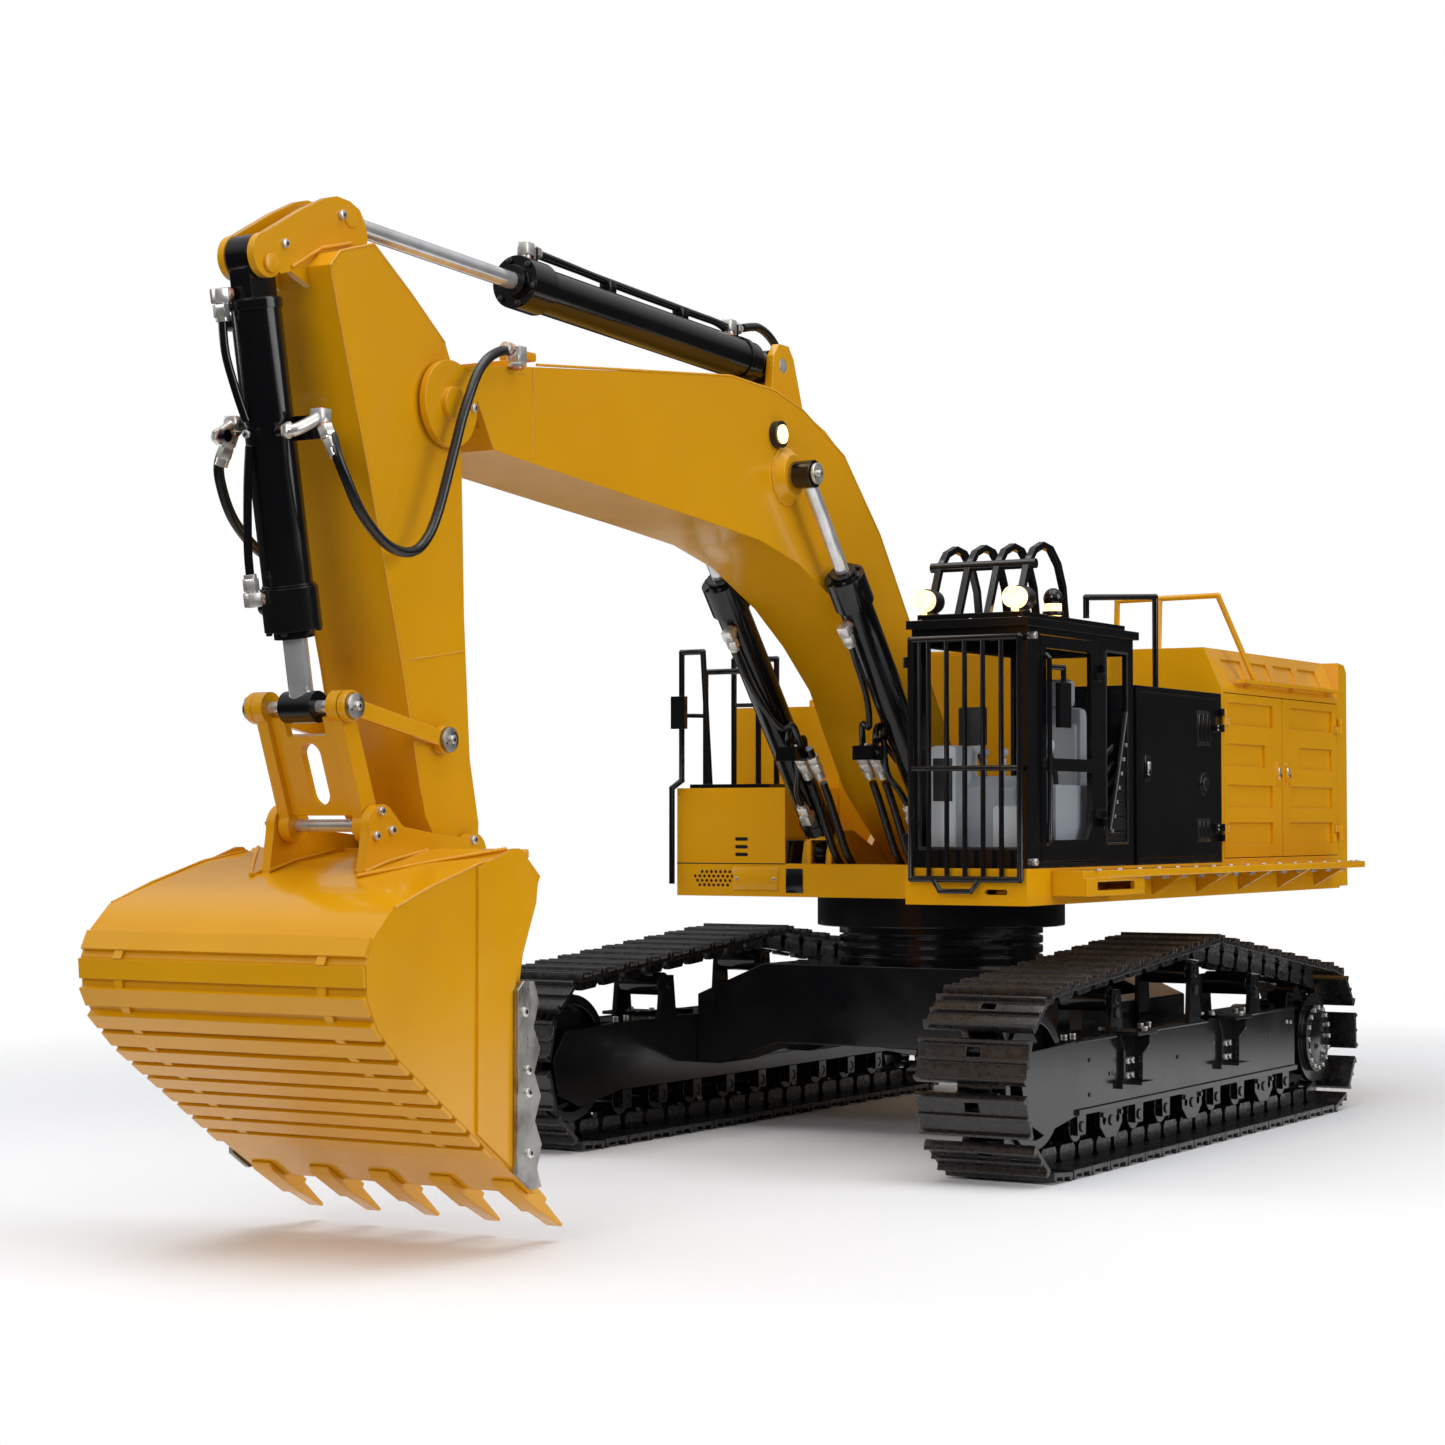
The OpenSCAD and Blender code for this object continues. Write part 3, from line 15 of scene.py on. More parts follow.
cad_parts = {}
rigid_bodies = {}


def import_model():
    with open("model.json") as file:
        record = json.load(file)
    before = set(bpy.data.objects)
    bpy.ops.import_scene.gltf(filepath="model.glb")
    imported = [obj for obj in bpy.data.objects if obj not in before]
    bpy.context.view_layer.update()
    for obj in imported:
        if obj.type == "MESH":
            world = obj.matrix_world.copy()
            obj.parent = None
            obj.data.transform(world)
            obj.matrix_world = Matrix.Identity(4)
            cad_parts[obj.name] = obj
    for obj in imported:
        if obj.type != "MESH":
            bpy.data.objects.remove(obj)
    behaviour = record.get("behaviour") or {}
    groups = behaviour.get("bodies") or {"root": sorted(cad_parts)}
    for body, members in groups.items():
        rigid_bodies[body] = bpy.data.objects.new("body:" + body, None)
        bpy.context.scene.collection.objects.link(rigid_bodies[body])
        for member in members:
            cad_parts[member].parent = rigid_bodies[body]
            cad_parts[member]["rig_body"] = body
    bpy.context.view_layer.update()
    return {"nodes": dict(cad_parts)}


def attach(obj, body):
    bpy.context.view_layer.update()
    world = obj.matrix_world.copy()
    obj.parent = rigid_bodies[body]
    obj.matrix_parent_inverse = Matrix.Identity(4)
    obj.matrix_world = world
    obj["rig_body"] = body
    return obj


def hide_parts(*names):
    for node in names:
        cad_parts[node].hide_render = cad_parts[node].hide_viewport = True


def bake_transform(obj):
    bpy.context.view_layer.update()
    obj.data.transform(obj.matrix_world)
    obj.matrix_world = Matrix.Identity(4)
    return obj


MM = 0.001
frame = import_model()
scene = bpy.context.scene
scene.view_settings.view_transform = "Standard"

# ---------------------------------------------------------------- camera

CAMERA_AT = (684.32, -1370.28, 160.45)
CAMERA_AZIMUTH, CAMERA_PITCH, CAMERA_LENS = 30.85, 1.965, 72.06
lens = bpy.data.cameras.new("camera")
lens.lens, lens.sensor_width = CAMERA_LENS, 36
lens.clip_start, lens.clip_end = 0.05, 60
camera = bpy.data.objects.new("camera", lens)
camera.location = Vector(CAMERA_AT) * MM
camera.rotation_euler = (math.radians(90 + CAMERA_PITCH), 0, math.radians(CAMERA_AZIMUTH))
scene.collection.objects.link(camera)
scene.camera = camera

# ---------------------------------------------------------------- materials

# Noise scales of the enamel: slow tone, dust, chipped edges and orange peel
TONE, DUST, CHIPS, PEEL = 14, 60, 420, 1300

def shader(name, base, rough, metal=0.0, coat=0.0):
    """A principled material, with its node tree and its shader node."""
    mat = bpy.data.materials.new(name)
    mat.use_nodes = True
    tree = mat.node_tree
    bsdf = tree.nodes["Principled BSDF"]
    bsdf.inputs["Base Color"].default_value = (*base, 1)
    bsdf.inputs["Roughness"].default_value = rough
    bsdf.inputs["Metallic"].default_value = metal
    bsdf.inputs["Coat Weight"].default_value = coat
    bsdf.inputs["Coat Roughness"].default_value = 0.06
    return mat, tree, bsdf


def noise(tree, scale, detail=3.0, stretch=(1, 1, 1)):
    """Noise fixed to the piece, with features about 1/scale metres across."""
    place = tree.nodes.new("ShaderNodeTexCoord")
    move = tree.nodes.new("ShaderNodeMapping")
    move.inputs["Scale"].default_value = stretch
    tex = tree.nodes.new("ShaderNodeTexNoise")
    tex.inputs["Scale"].default_value = scale
    tex.inputs["Detail"].default_value = detail
    tree.links.new(place.outputs["Object"], move.inputs["Vector"])
    tree.links.new(move.outputs["Vector"], tex.inputs["Vector"])
    return tex.outputs["Fac"]


def ramp(tree, fac, low, high, a, b):
    """Maps fac from low..high to a..b, clamped."""
    node = tree.nodes.new("ShaderNodeMapRange")
    for i, value in ((1, low), (2, high), (3, a), (4, b)):
        node.inputs[i].default_value = value
    tree.links.new(fac, node.inputs[0])
    return node.outputs[0]


def mix(tree, fac, a, b):
    """Blends two colours, or an output with a colour, by fac."""
    node = tree.nodes.new("ShaderNodeMix")
    node.data_type = "RGBA"
    tree.links.new(fac, node.inputs[0])
    for i, value in ((6, a), (7, b)):
        if isinstance(value, bpy.types.NodeSocket):
            tree.links.new(value, node.inputs[i])
        else:
            node.inputs[i].default_value = (*value, 1)
    return node.outputs[2]


def product(tree, a, b):
    node = tree.nodes.new("ShaderNodeMath")
    node.operation = "MULTIPLY"
    tree.links.new(a, node.inputs[0])
    tree.links.new(b, node.inputs[1])
    return node.outputs[0]


def blend_shaders(tree, first, second):
    """A node that shows the first shader at 0 and the second at 1."""
    node = tree.nodes.new("ShaderNodeMixShader")
    tree.links.new(first.outputs[0], node.inputs[1])
    tree.links.new(second.outputs[0], node.inputs[2])
    return node


def edge_mask(tree, radius):
    """1 near sharp edges and 0 on flats, from how far a rounded normal leans, and that rounded normal."""
    bevel = tree.nodes.new("ShaderNodeBevel")
    bevel.samples = 4
    bevel.inputs["Radius"].default_value = radius
    geo = tree.nodes.new("ShaderNodeNewGeometry")
    dot = tree.nodes.new("ShaderNodeVectorMath")
    dot.operation = "DOT_PRODUCT"
    tree.links.new(bevel.outputs[0], dot.inputs[0])
    tree.links.new(geo.outputs["Normal"], dot.inputs[1])
    return ramp(tree, dot.outputs["Value"], 0.99, 0.85, 0, 1), bevel.outputs[0]


def bump(tree, bsdf, height, strength, distance, normal=None):
    node = tree.nodes.new("ShaderNodeBump")
    node.inputs["Strength"].default_value = strength
    node.inputs["Distance"].default_value = distance
    tree.links.new(height, node.inputs["Height"])
    if normal is not None:
        tree.links.new(normal, node.inputs["Normal"])
    tree.links.new(node.outputs[0], bsdf.inputs["Normal"])


def paint(name, base, rough, chipped, shade, peel=0.06):
    """Sprayed enamel: orange peel, slow changes of tone, dust in the roughness, thin paint at the edges."""
    mat, tree, bsdf = shader(name, base, rough, coat=0.2)
    bsdf.inputs["Specular IOR Level"].default_value = 0.4
    tone = ramp(tree, noise(tree, TONE, 2), 0.35, 0.65, 0, 1)
    body = mix(tree, tone, base, shade)
    edge, rounded = edge_mask(tree, 0.00045)
    broken = ramp(tree, noise(tree, CHIPS, 4), 0.56, 0.66, 0, 0.8)
    tree.links.new(mix(tree, product(tree, edge, broken), body, chipped), bsdf.inputs["Base Color"])
    dust = ramp(tree, noise(tree, DUST, 5), 0.3, 0.7, rough * 0.75, rough * 1.35)
    tree.links.new(dust, bsdf.inputs["Roughness"])
    bump(tree, bsdf, noise(tree, PEEL, 1), peel, 0.0004, rounded)
    return mat


def metal(name, base, rough, scratch=400.0, stretch=(1, 1, 1), depth=0.05, tarnish=None, share=1.0):
    """Bare or plated metal with fine scratches and a slight change of tone."""
    mat, tree, bsdf = shader(name, base, rough, metal=share)
    lines = noise(tree, scratch, 6, stretch)
    tree.links.new(ramp(tree, lines, 0.3, 0.7, rough * 0.6, rough * 1.6), bsdf.inputs["Roughness"])
    tone = ramp(tree, noise(tree, 90, 4), 0.4, 0.7, 0, 1)
    tree.links.new(mix(tree, tone, base, tarnish or [c * 0.8 for c in base]), bsdf.inputs["Base Color"])
    rounded = edge_mask(tree, 0.0003)[1]
    bump(tree, bsdf, lines, depth, 0.0003, rounded)
    return mat


yellow = paint("yellow_enamel", (0.74, 0.345, 0.003), 0.2, (0.82, 0.44, 0.03), (0.70, 0.318, 0.002))
black = paint("black_enamel", (0.004, 0.004, 0.005), 0.14, (0.03, 0.028, 0.026), (0.006, 0.006, 0.007), 0.04)
satin_black = paint("satin_black", (0.006, 0.006, 0.0065), 0.34, (0.04, 0.038, 0.035), (0.01,) * 3, 0.1)
chrome = metal("chrome_rod", (0.74, 0.75, 0.77), 0.12, 900, (1, 1, 0.08), 0.02, share=0.6)
nickel = metal("nickel_plate", (0.74, 0.72, 0.68), 0.26, 160, depth=0.015, share=0.7)
steel = metal("bare_steel", (0.46, 0.45, 0.43), 0.34, 500, (1, 1, 0.2), 0.1, (0.24, 0.22, 0.2))
copper = metal("copper_washer", (0.62, 0.27, 0.16), 0.3)


def track_iron():
    """Cast shoes: brown-black finish, rubbed lighter on the grousers' edges, dull and grainy between."""
    base, rubbed, rust = (0.009, 0.008, 0.0078), (0.11, 0.10, 0.095), (0.012, 0.0098, 0.009)
    mat, tree, bsdf = shader("track_iron", base, 0.3, metal=0.2, coat=0.3)
    patch = ramp(tree, noise(tree, 70, 6), 0.45, 0.62, 0, 1)
    edge, rounded = edge_mask(tree, 0.0006)
    grain = ramp(tree, noise(tree, 300, 5), 0.42, 0.6, 0, 1)
    body = mix(tree, patch, base, rust)
    tree.links.new(mix(tree, product(tree, edge, grain), body, rubbed), bsdf.inputs["Base Color"])
    tree.links.new(ramp(tree, grain, 0, 1, 0.4, 0.22), bsdf.inputs["Roughness"])
    bump(tree, bsdf, noise(tree, 800, 5), 0.25, 0.0004, rounded)
    return mat


def plastic(name, base, rough, grain=900.0):
    mat, tree, bsdf = shader(name, base, rough)
    tree.links.new(mix(tree, noise(tree, 30, 3), base, [c * 0.86 for c in base]), bsdf.inputs["Base Color"])
    worn = ramp(tree, noise(tree, 120, 4), 0.3, 0.7, rough * 0.8, rough * 1.25)
    tree.links.new(worn, bsdf.inputs["Roughness"])
    bump(tree, bsdf, noise(tree, grain, 2), 0.12, 0.0003)
    return mat


def glass():
    """Clear pane: what's behind it, under a reflection that grows at low angles, with a few smears."""
    mat, tree, bsdf = shader("pane", (0.01, 0.011, 0.012), 0.03)
    clear = tree.nodes.new("ShaderNodeBsdfTransparent")
    clear.inputs[0].default_value = (0.95, 0.965, 0.97, 1)
    facing = tree.nodes.new("ShaderNodeLayerWeight")
    steep = tree.nodes.new("ShaderNodeMath")
    steep.operation = "POWER"
    steep.inputs[1].default_value = 4
    tree.links.new(facing.outputs["Facing"], steep.inputs[0])
    tree.links.new(ramp(tree, noise(tree, 25, 5), 0.4, 0.8, 0.02, 0.09), bsdf.inputs["Roughness"])
    blend = blend_shaders(tree, clear, bsdf)
    tree.links.new(ramp(tree, steep.outputs[0], 0, 1, 0.02, 0.6), blend.inputs[0])
    tree.links.new(blend.outputs[0], tree.nodes["Material Output"].inputs[0])
    return mat


def lit_lens(name, strength):
    """A warm lamp lens, brightest in its middle bands."""
    mat, tree, bsdf = shader(name, (0.9, 0.7, 0.4), 0.2)
    bsdf.inputs["Emission Color"].default_value = (1.0, 0.66, 0.26, 1)
    bands = ramp(tree, noise(tree, 500, 1), 0.3, 0.7, strength * 0.8, strength * 1.2)
    tree.links.new(bands, bsdf.inputs["Emission Strength"])
    return mat


iron = track_iron()
rubber = plastic("hose_rubber", (0.007, 0.007, 0.0075), 0.26, 1500)
seat_grey = plastic("seat_grey", (0.50, 0.52, 0.56), 0.5)
console_white = plastic("console_white", (0.78, 0.78, 0.80), 0.4)
case_black = plastic("case_black", (0.03, 0.03, 0.033), 0.5)
battery_blue = plastic("battery_wrap", (0.04, 0.12, 0.36), 0.28)
pane = glass()
lens_warm = lit_lens("lamp_lens", 2.2)

# ---------------------------------------------------------------- mesh helpers


def link(name, mesh, body):
    piece = bpy.data.objects.new(name, mesh)
    scene.collection.objects.link(piece)
    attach(piece, body)
    return piece


def refine(node, material, bevel):
    """A finer copy of a CAD node: welded, its flats cleaned, its edges rounded. It stands for the node."""
    source = frame["nodes"][node]
    mesh = source.data.copy()
    mesh.materials.clear()
    mesh.materials.append(material)
    bm = bmesh.new()
    bm.from_mesh(mesh)
    for face in bm.faces:
        face.material_index = 0
    bmesh.ops.remove_doubles(bm, verts=bm.verts, dist=1e-6)
    bmesh.ops.dissolve_limit(bm, angle_limit=math.radians(0.6), verts=bm.verts, edges=bm.edges)
    bm.to_mesh(mesh)
    bm.free()
    if "custom_normal" in mesh.attributes:
        mesh.attributes.remove(mesh.attributes["custom_normal"])
    mesh.shade_smooth()
    mesh.set_sharp_from_angle(angle=math.radians(28))
    piece = link(node + "_shell", mesh, source["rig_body"])
    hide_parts(node)
    if bevel:
        mod = piece.modifiers.new("bevel", "BEVEL")
        mod.width, mod.segments, mod.limit_method = bevel * MM, 2, "ANGLE"
        mod.angle_limit, mod.harden_normals = math.radians(35), True
    return piece


def round_edges(part, edges, width):
    bmesh.ops.bevel(part, geom=edges, offset=width * MM, segments=2, profile=0.5, affect="EDGES")


class Kit:
    """Collects small solids into one mesh, each with its own material."""

    def __init__(self):
        self.verts, self.faces, self.marks, self.mats = [], [], [], []

    def _add(self, verts, faces, material, sharp=True):
        if material not in self.mats:
            self.mats.append(material)
        start = len(self.verts)
        self.verts += verts
        self.faces += [[start + i for i in face] for face in faces]
        self.marks += [(self.mats.index(material), not sharp)] * len(faces)

    def _take(self, part, matrix, material, sharp=True):
        part.verts.index_update()
        faces = [[v.index for v in face.verts] for face in part.faces]
        self._add([matrix @ v.co for v in part.verts], faces, material, sharp)
        part.free()

    def box(self, low, high, material, bevel=0.3, turn=None):
        low, high = Vector(low) * MM, Vector(high) * MM
        part = bmesh.new()
        bmesh.ops.create_cube(part, size=1)
        bmesh.ops.scale(part, vec=high - low, verts=part.verts)
        if bevel:
            round_edges(part, part.edges[:], bevel)
        matrix = Matrix.Translation((low + high) / 2)
        self._take(part, matrix @ turn.to_4x4() if turn else matrix, material)

    def cyl(self, p, q, r, material, sides=24, chamfer=0.0):
        """A cylinder or prism from p to q, with rounded rims if asked."""
        p, q = Vector(p) * MM, Vector(q) * MM
        axis = q - p
        part = bmesh.new()
        size = {"radius1": r * MM, "radius2": r * MM, "depth": axis.length}
        bmesh.ops.create_cone(part, cap_ends=True, segments=sides, **size)
        if chamfer:
            rims = [e for e in part.edges if abs(e.verts[0].co.z - e.verts[1].co.z) < 1e-9]
            round_edges(part, rims, chamfer)
        matrix = Matrix.Translation((p + q) / 2) @ axis.to_track_quat("Z", "Y").to_matrix().to_4x4()
        self._take(part, matrix, material, sharp=sides <= 8)

    def ball(self, p, r, material, squash=(1, 1, 1), sides=20):
        part = bmesh.new()
        bmesh.ops.create_uvsphere(part, u_segments=sides, v_segments=sides // 2, radius=r * MM)
        matrix = Matrix.Translation(Vector(p) * MM) @ Matrix.Diagonal((*squash, 1))
        self._take(part, matrix, material, sharp=False)

    def plate(self, outline, shift, material):
        """A flat outline of points in order, thickened by the vector shift."""
        near = [Vector(p) * MM for p in outline]
        far = [p + Vector(shift) * MM for p in near]
        n = len(near)
        sides = [[i, (i + 1) % n, n + (i + 1) % n, n + i] for i in range(n)]
        self._add(near + far, [list(range(n))[::-1], list(range(n, 2 * n)), *sides], material)

    def tube(self, points, r, material, sides=16, ripple=None):
        """A round bar or pipe along a smooth path; ripple scales the radius at each point."""
        path = [Vector(p) * MM for p in points]
        turns = [k * math.tau / sides for k in range(sides)]
        verts, up = [], None
        for i, p in enumerate(path):
            along = (path[min(i + 1, len(path) - 1)] - path[max(i - 1, 0)]).normalized()
            up = (along.orthogonal() if up is None else up - along * up.dot(along)).normalized()
            side = along.cross(up)
            radius = r * MM * (ripple[i] if ripple else 1)
            verts += [p + (up * math.cos(a) + side * math.sin(a)) * radius for a in turns]
        walls = []
        for ring in range(0, len(verts) - sides, sides):
            for k in range(sides):
                near, far = ring + k, ring + (k + 1) % sides
                walls.append([near, far, far + sides, near + sides])
        self._add(verts, walls, material, sharp=False)
        start, last = len(self.verts) - len(verts), len(self.verts) - sides
        self.faces += [[start + k for k in range(sides)][::-1], [last + k for k in range(sides)]]
        self.marks += [(self.mats.index(material), False)] * 2

    def bolt(self, p, axis, r, material, head=1.0):
        """A screw's round head on a face at p, with its hexagon socket drawn as a thin flat black hexagon:
        painted shade of the recess.
        """
        p, axis = Vector(p), Vector(axis).normalized()
        self.cyl(p - axis * 0.2, p + axis * head, r, material, 20, chamfer=min(0.2, r * 0.2))
        # The socket is a flat satin-black hexagon laid on the head, not a recess: painted shade.
        self.cyl(p + axis * head * 0.98, p + axis * (head + 0.03), r * 0.52, satin_black, 6)

    def finish(self, name, body):
        mesh = bpy.data.meshes.new(name)
        mesh.from_pydata(self.verts, [], self.faces)
        for m in self.mats:
            mesh.materials.append(m)
        for face, (index, soft) in zip(mesh.polygons, self.marks):
            face.material_index, face.use_smooth = index, soft
        bm = bmesh.new()
        bm.from_mesh(mesh)
        bmesh.ops.recalc_face_normals(bm, faces=bm.faces)
        bm.to_mesh(mesh)
        bm.free()
        mesh.set_sharp_from_angle(angle=math.radians(32))
        return link(name, mesh, body)


def curve_through(points, steps=6):
    """Catmull-Rom points through a given route."""
    out = []
    ext = [points[0], *points, points[-1]]
    for i in range(1, len(ext) - 2):
        p0, p1, p2, p3 = (Vector(ext[i + k]) for k in (-1, 0, 1, 2))
        square, cube_part = 2 * p0 - 5 * p1 + 4 * p2 - p3, 3 * p1 - p0 - 3 * p2 + p3
        for s in range(steps):
            t = s / steps
            out.append(0.5 * ((2 * p1) + (p2 - p0) * t + square * t * t + cube_part * t**3))
    return [*out, Vector(points[-1])]


# ---------------------------------------------------------------- hoses

HOSE_D = 4.0
LOOP = [(15.5, -543, 309), (20, -543, 306), (25, -543.5, 301), (28, -544, 293), (29.5, -540, 284),
        (30, -534, 275), (30, -526, 268), (30, -517, 263), (30, -507, 261), (30, -498, 263), (30, -491, 269),
        (30, -486, 277), (30, -482, 286), (30, -478, 296), (30, -474, 306), (30, -470, 316), (30, -465, 326),
        (29.5, -459, 335), (28.5, -451, 341.5), (27.5, -442, 345.5), (26.5, -433, 347.5)]
STICK_ROUTE = [(0, -206, 392), (0, -199, 393.5), (-0.5, -191, 394.5), (-1, -182, 393), (-1.5, -174, 389.5),
               (-2, -166, 383.5), (-2.5, -159, 376), (-3, -153, 367.5), (-3, -148, 358.5), (-3, -144, 349),
               (-3, -141, 339)]
DECK_ROUTE = [(-103, 180), (-97, 172), (-91, 163), (-85, 154), (-79, 145.5), (-71, 138), (-61, 133),
              (-50, 130.5), (-39, 130)]
DECK_HOSE_X = (14, 21)


def hose(name, route, body, node=None):
    """A hose as a mesh tube along its route, between two fittings of the model; it hides the CAD node, if one
    is given.
    """
    line = curve_through(route)
    kit = Kit()
    kit.tube(line, HOSE_D / 2, rubber, 14)
    piece = kit.finish(name, body)
    if node:
        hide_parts(node)
    return piece


for side, name in ((1, "left"), (-1, "right")):
    piece = hose("loop_hose_" + name, [(side * x, y, z) for x, y, z in LOOP], "boom", "hose_loop_" + name)
    piece.parent = None
    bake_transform(piece)
piece = hose("stick_cylinder_hose", STICK_ROUTE, "boom", "stick_hose")
piece.parent = None
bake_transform(piece)
for i, x in enumerate(sorted(s * x for s in (1, -1) for x in DECK_HOSE_X)):
    route = [(x, y, z) for y, z in DECK_ROUTE]
    hose(f"deck_hose_{i}", route, "boom_barrels", "boom_hoses" if i == 0 else None)

# ---------------------------------------------------------------- CAD pieces, refined

# The rounding of each node's edges, in millimetres, by finish
FINISHES = {
    yellow: {"house_deck": 0.5, "walkway": 0.4, "counterweight": 1.2, "engine_hood": 0.7, "oil_tank": 1.0,
             "toolbox": 1.2, "handrails_yellow": 0, "engine_door_front": 0.3, "engine_door_rear": 0.3,
             "boom": 0.5, "stick": 0.5, "idler_links": 0.5, "bucket_link": 0.5, "bucket": 0.35,
             "bucket_wear_parts": 0.4},
    black: {"car_body": 0.6, "track_frames": 0.4, "sprocket_left": 0.4, "sprocket_right": 0.4,
            "idler_wheel_left": 0.5, "idler_wheel_right": 0.5, "track_rollers": 0.4, "roller_guards": 0.3,
            "track_steps": 0.3, "final_drives": 0.5, "slew_ring": 0.4, "slew_turret": 0.6,
            "handrails_black": 0, "cab_frame": 0.4, "cab_roof": 0.5, "cab_front_guard": 0, "cab_door": 0.3,
            "pump_housing": 0.5, "pump_door": 0.3, "boom_cylinder_barrels": 0.35,
            "stick_cylinder_barrel": 0.35, "bucket_cylinder_barrel": 0.35},
    iron: {"track_shoes_left": 0.3, "track_shoes_right": 0.3, "track_links": 0.3},
    chrome: {"boom_cylinder_rods": 0.3, "stick_cylinder_rod": 0.3, "bucket_cylinder_rod": 0.3},
    nickel: {"boom_pins": 0.3, "link_pins": 0.3, "bucket_pins": 0.3, "hydraulic_pump": 0.4,
             "valve_block": 0.4, "slew_motor": 0.4},
    seat_grey: {"driver_seat": 1.2},
    battery_blue: {"battery": 1.5},
    case_black: {"radio_receiver": 0.8},
    pane: {"cab_glass": 0, "cab_door_glass": 0},
    lens_warm: {"lamps": 0, "boom_lamps": 0},
}
shells = {}
for material, group in FINISHES.items():
    for node, bevel in group.items():
        shells[node] = refine(node, material, bevel)


def coat_faces(node, material, chosen):
    """Gives the faces of a refined node whose centre, in millimetres, passes the test another material."""
    mesh = shells[node].data
    mesh.materials.append(material)
    for face in mesh.polygons:
        if chosen(face.center / MM):
            face.material_index = len(mesh.materials) - 1


# Pivots in side view (y, z), and half widths along X
CYL_FOOT, BOOM_EYE = (-60, 144), (-206, 321)
STICK_CYL_FOOT, STICK_CYL_EYE, BUCKET_CYL_TOP = (-186, 376), (-512, 388.5), (-560, 366)
LINK_STICK, LINK_TOP, BUCKET_HINGE, BUCKET_EAR = (-470, 192), (-528.5, 203), (-453.5, 148), (-512, 159)
CYL_X, BOOM_HALF, STICK_HALF, TRACK_X = 34, 23.5, 19.5, 125
LEFT, UP = Vector((1, 0, 0)), Vector((0, 0, 1))

coat_faces("bucket_wear_parts", steel, lambda c: abs(c.x) > 66.9)
coat_faces("boom_cylinder_rods", black, lambda c: math.dist((c.y, c.z), BOOM_EYE) < 7.5)
coat_faces("bucket_cylinder_rod", black, lambda c: math.dist((c.y, c.z), LINK_TOP) < 7)
coat_faces("link_pins", steel, lambda c: abs(c.x) > 22)

# ---------------------------------------------------------------- fittings, screws and welds


class Axis:
    """A cylinder's line in side view, from p to q in the plane x."""

    def __init__(self, p, q, x=0.0):
        self.start = Vector((x, *p))
        self.along = (Vector((x, *q)) - self.start).normalized()
        self.across = LEFT.cross(self.along)

    def at(self, t, across=0.0, out=0.0):
        """The point t along the line, moved off it in side view by across and along X by out."""
        return self.start + self.along * t + self.across * across + LEFT * out


def sleeve(length, r, material=nickel):
    return length, r, 20, material


def nut(length, r=3.1):
    return length, r, 6, nickel


def stack(kit, p, d, parts):
    """Sleeves and nuts in a row from p along d. Returns the end of the last one."""
    p, d = Vector(p), Vector(d).normalized()
    for length, r, sides, material in parts:
        kit.cyl(p, p + d * length, r, material, sides, chamfer=0.25 if sides <= 8 else 0)
        p = p + d * length
    return p


def cube(kit, centre, half, bevel, turn=None):
    kit.box(centre - Vector((half, half, half)), centre + Vector((half, half, half)), nickel, bevel, turn)


def elbow(kit, p, out, turn):
    """An angle fitting screwed in at p: washer, neck and block along out, then a swivel nut along turn."""
    out, turn = Vector(out).normalized(), Vector(turn).normalized()
    reach = 2.6
    corner = stack(kit, p, out, (sleeve(0.8, 2.8, copper), sleeve(1.2, 2.2))) + out * reach
    cube(kit, corner, reach + 0.1, 0.45, Matrix((out, out.cross(turn), turn)).transposed())
    return stack(kit, corner + turn * reach, turn, (sleeve(0.6, 2.3), nut(4.6, 3.0), sleeve(1.6, 2.4)))


def pipe(kit, points, r, material=black):
    """A hard pipe or lever bent along a route."""
    kit.tube(curve_through(points), r, material, 12)


def collar(kit, line, start, end, r, sides=40):
    """A ring round a cylinder's barrel."""
    kit.cyl(line.at(start), line.at(end), r, black, sides)


def circle(x, centre, r, count):
    """Points round a centre (y, z) in the plane x, from the first back to it."""
    angles = [k * math.tau / count for k in range(count + 1)]
    return [(x, centre[0] + r * math.cos(a), centre[1] + r * math.sin(a)) for a in angles]


def weld(kit, points, r=0.7, side=1):
    """A bead with the scallops of its passes, on the left (1) or right (-1) side."""
    route = [Vector((side * x, y, z)) for x, y, z in points]
    line, ripple = [], []
    for a, b in zip(route, route[1:]):
        steps = max(2, round((b - a).length / (0.45 * r)))
        for i in range(steps):
            line.append(a.lerp(b, i / steps))
            ripple.append(0.82 + 0.2 * (len(line) % 4 in (1, 2)) + rng.uniform(-0.05, 0.05))
    kit.tube(line, r, yellow, 10, ripple)


def ring_of_bolts(kit, centre, axis, r, count, head_r, material, head=1.0, start=0.0):
    axis = Vector(axis).normalized()
    u = axis.orthogonal().normalized()
    w = axis.cross(u)
    for i in range(count):
        a = start + i * math.tau / count
        kit.bolt(Vector(centre) + (u * math.cos(a) + w * math.sin(a)) * r, axis, head_r, material, head)


rng = random.Random(14)


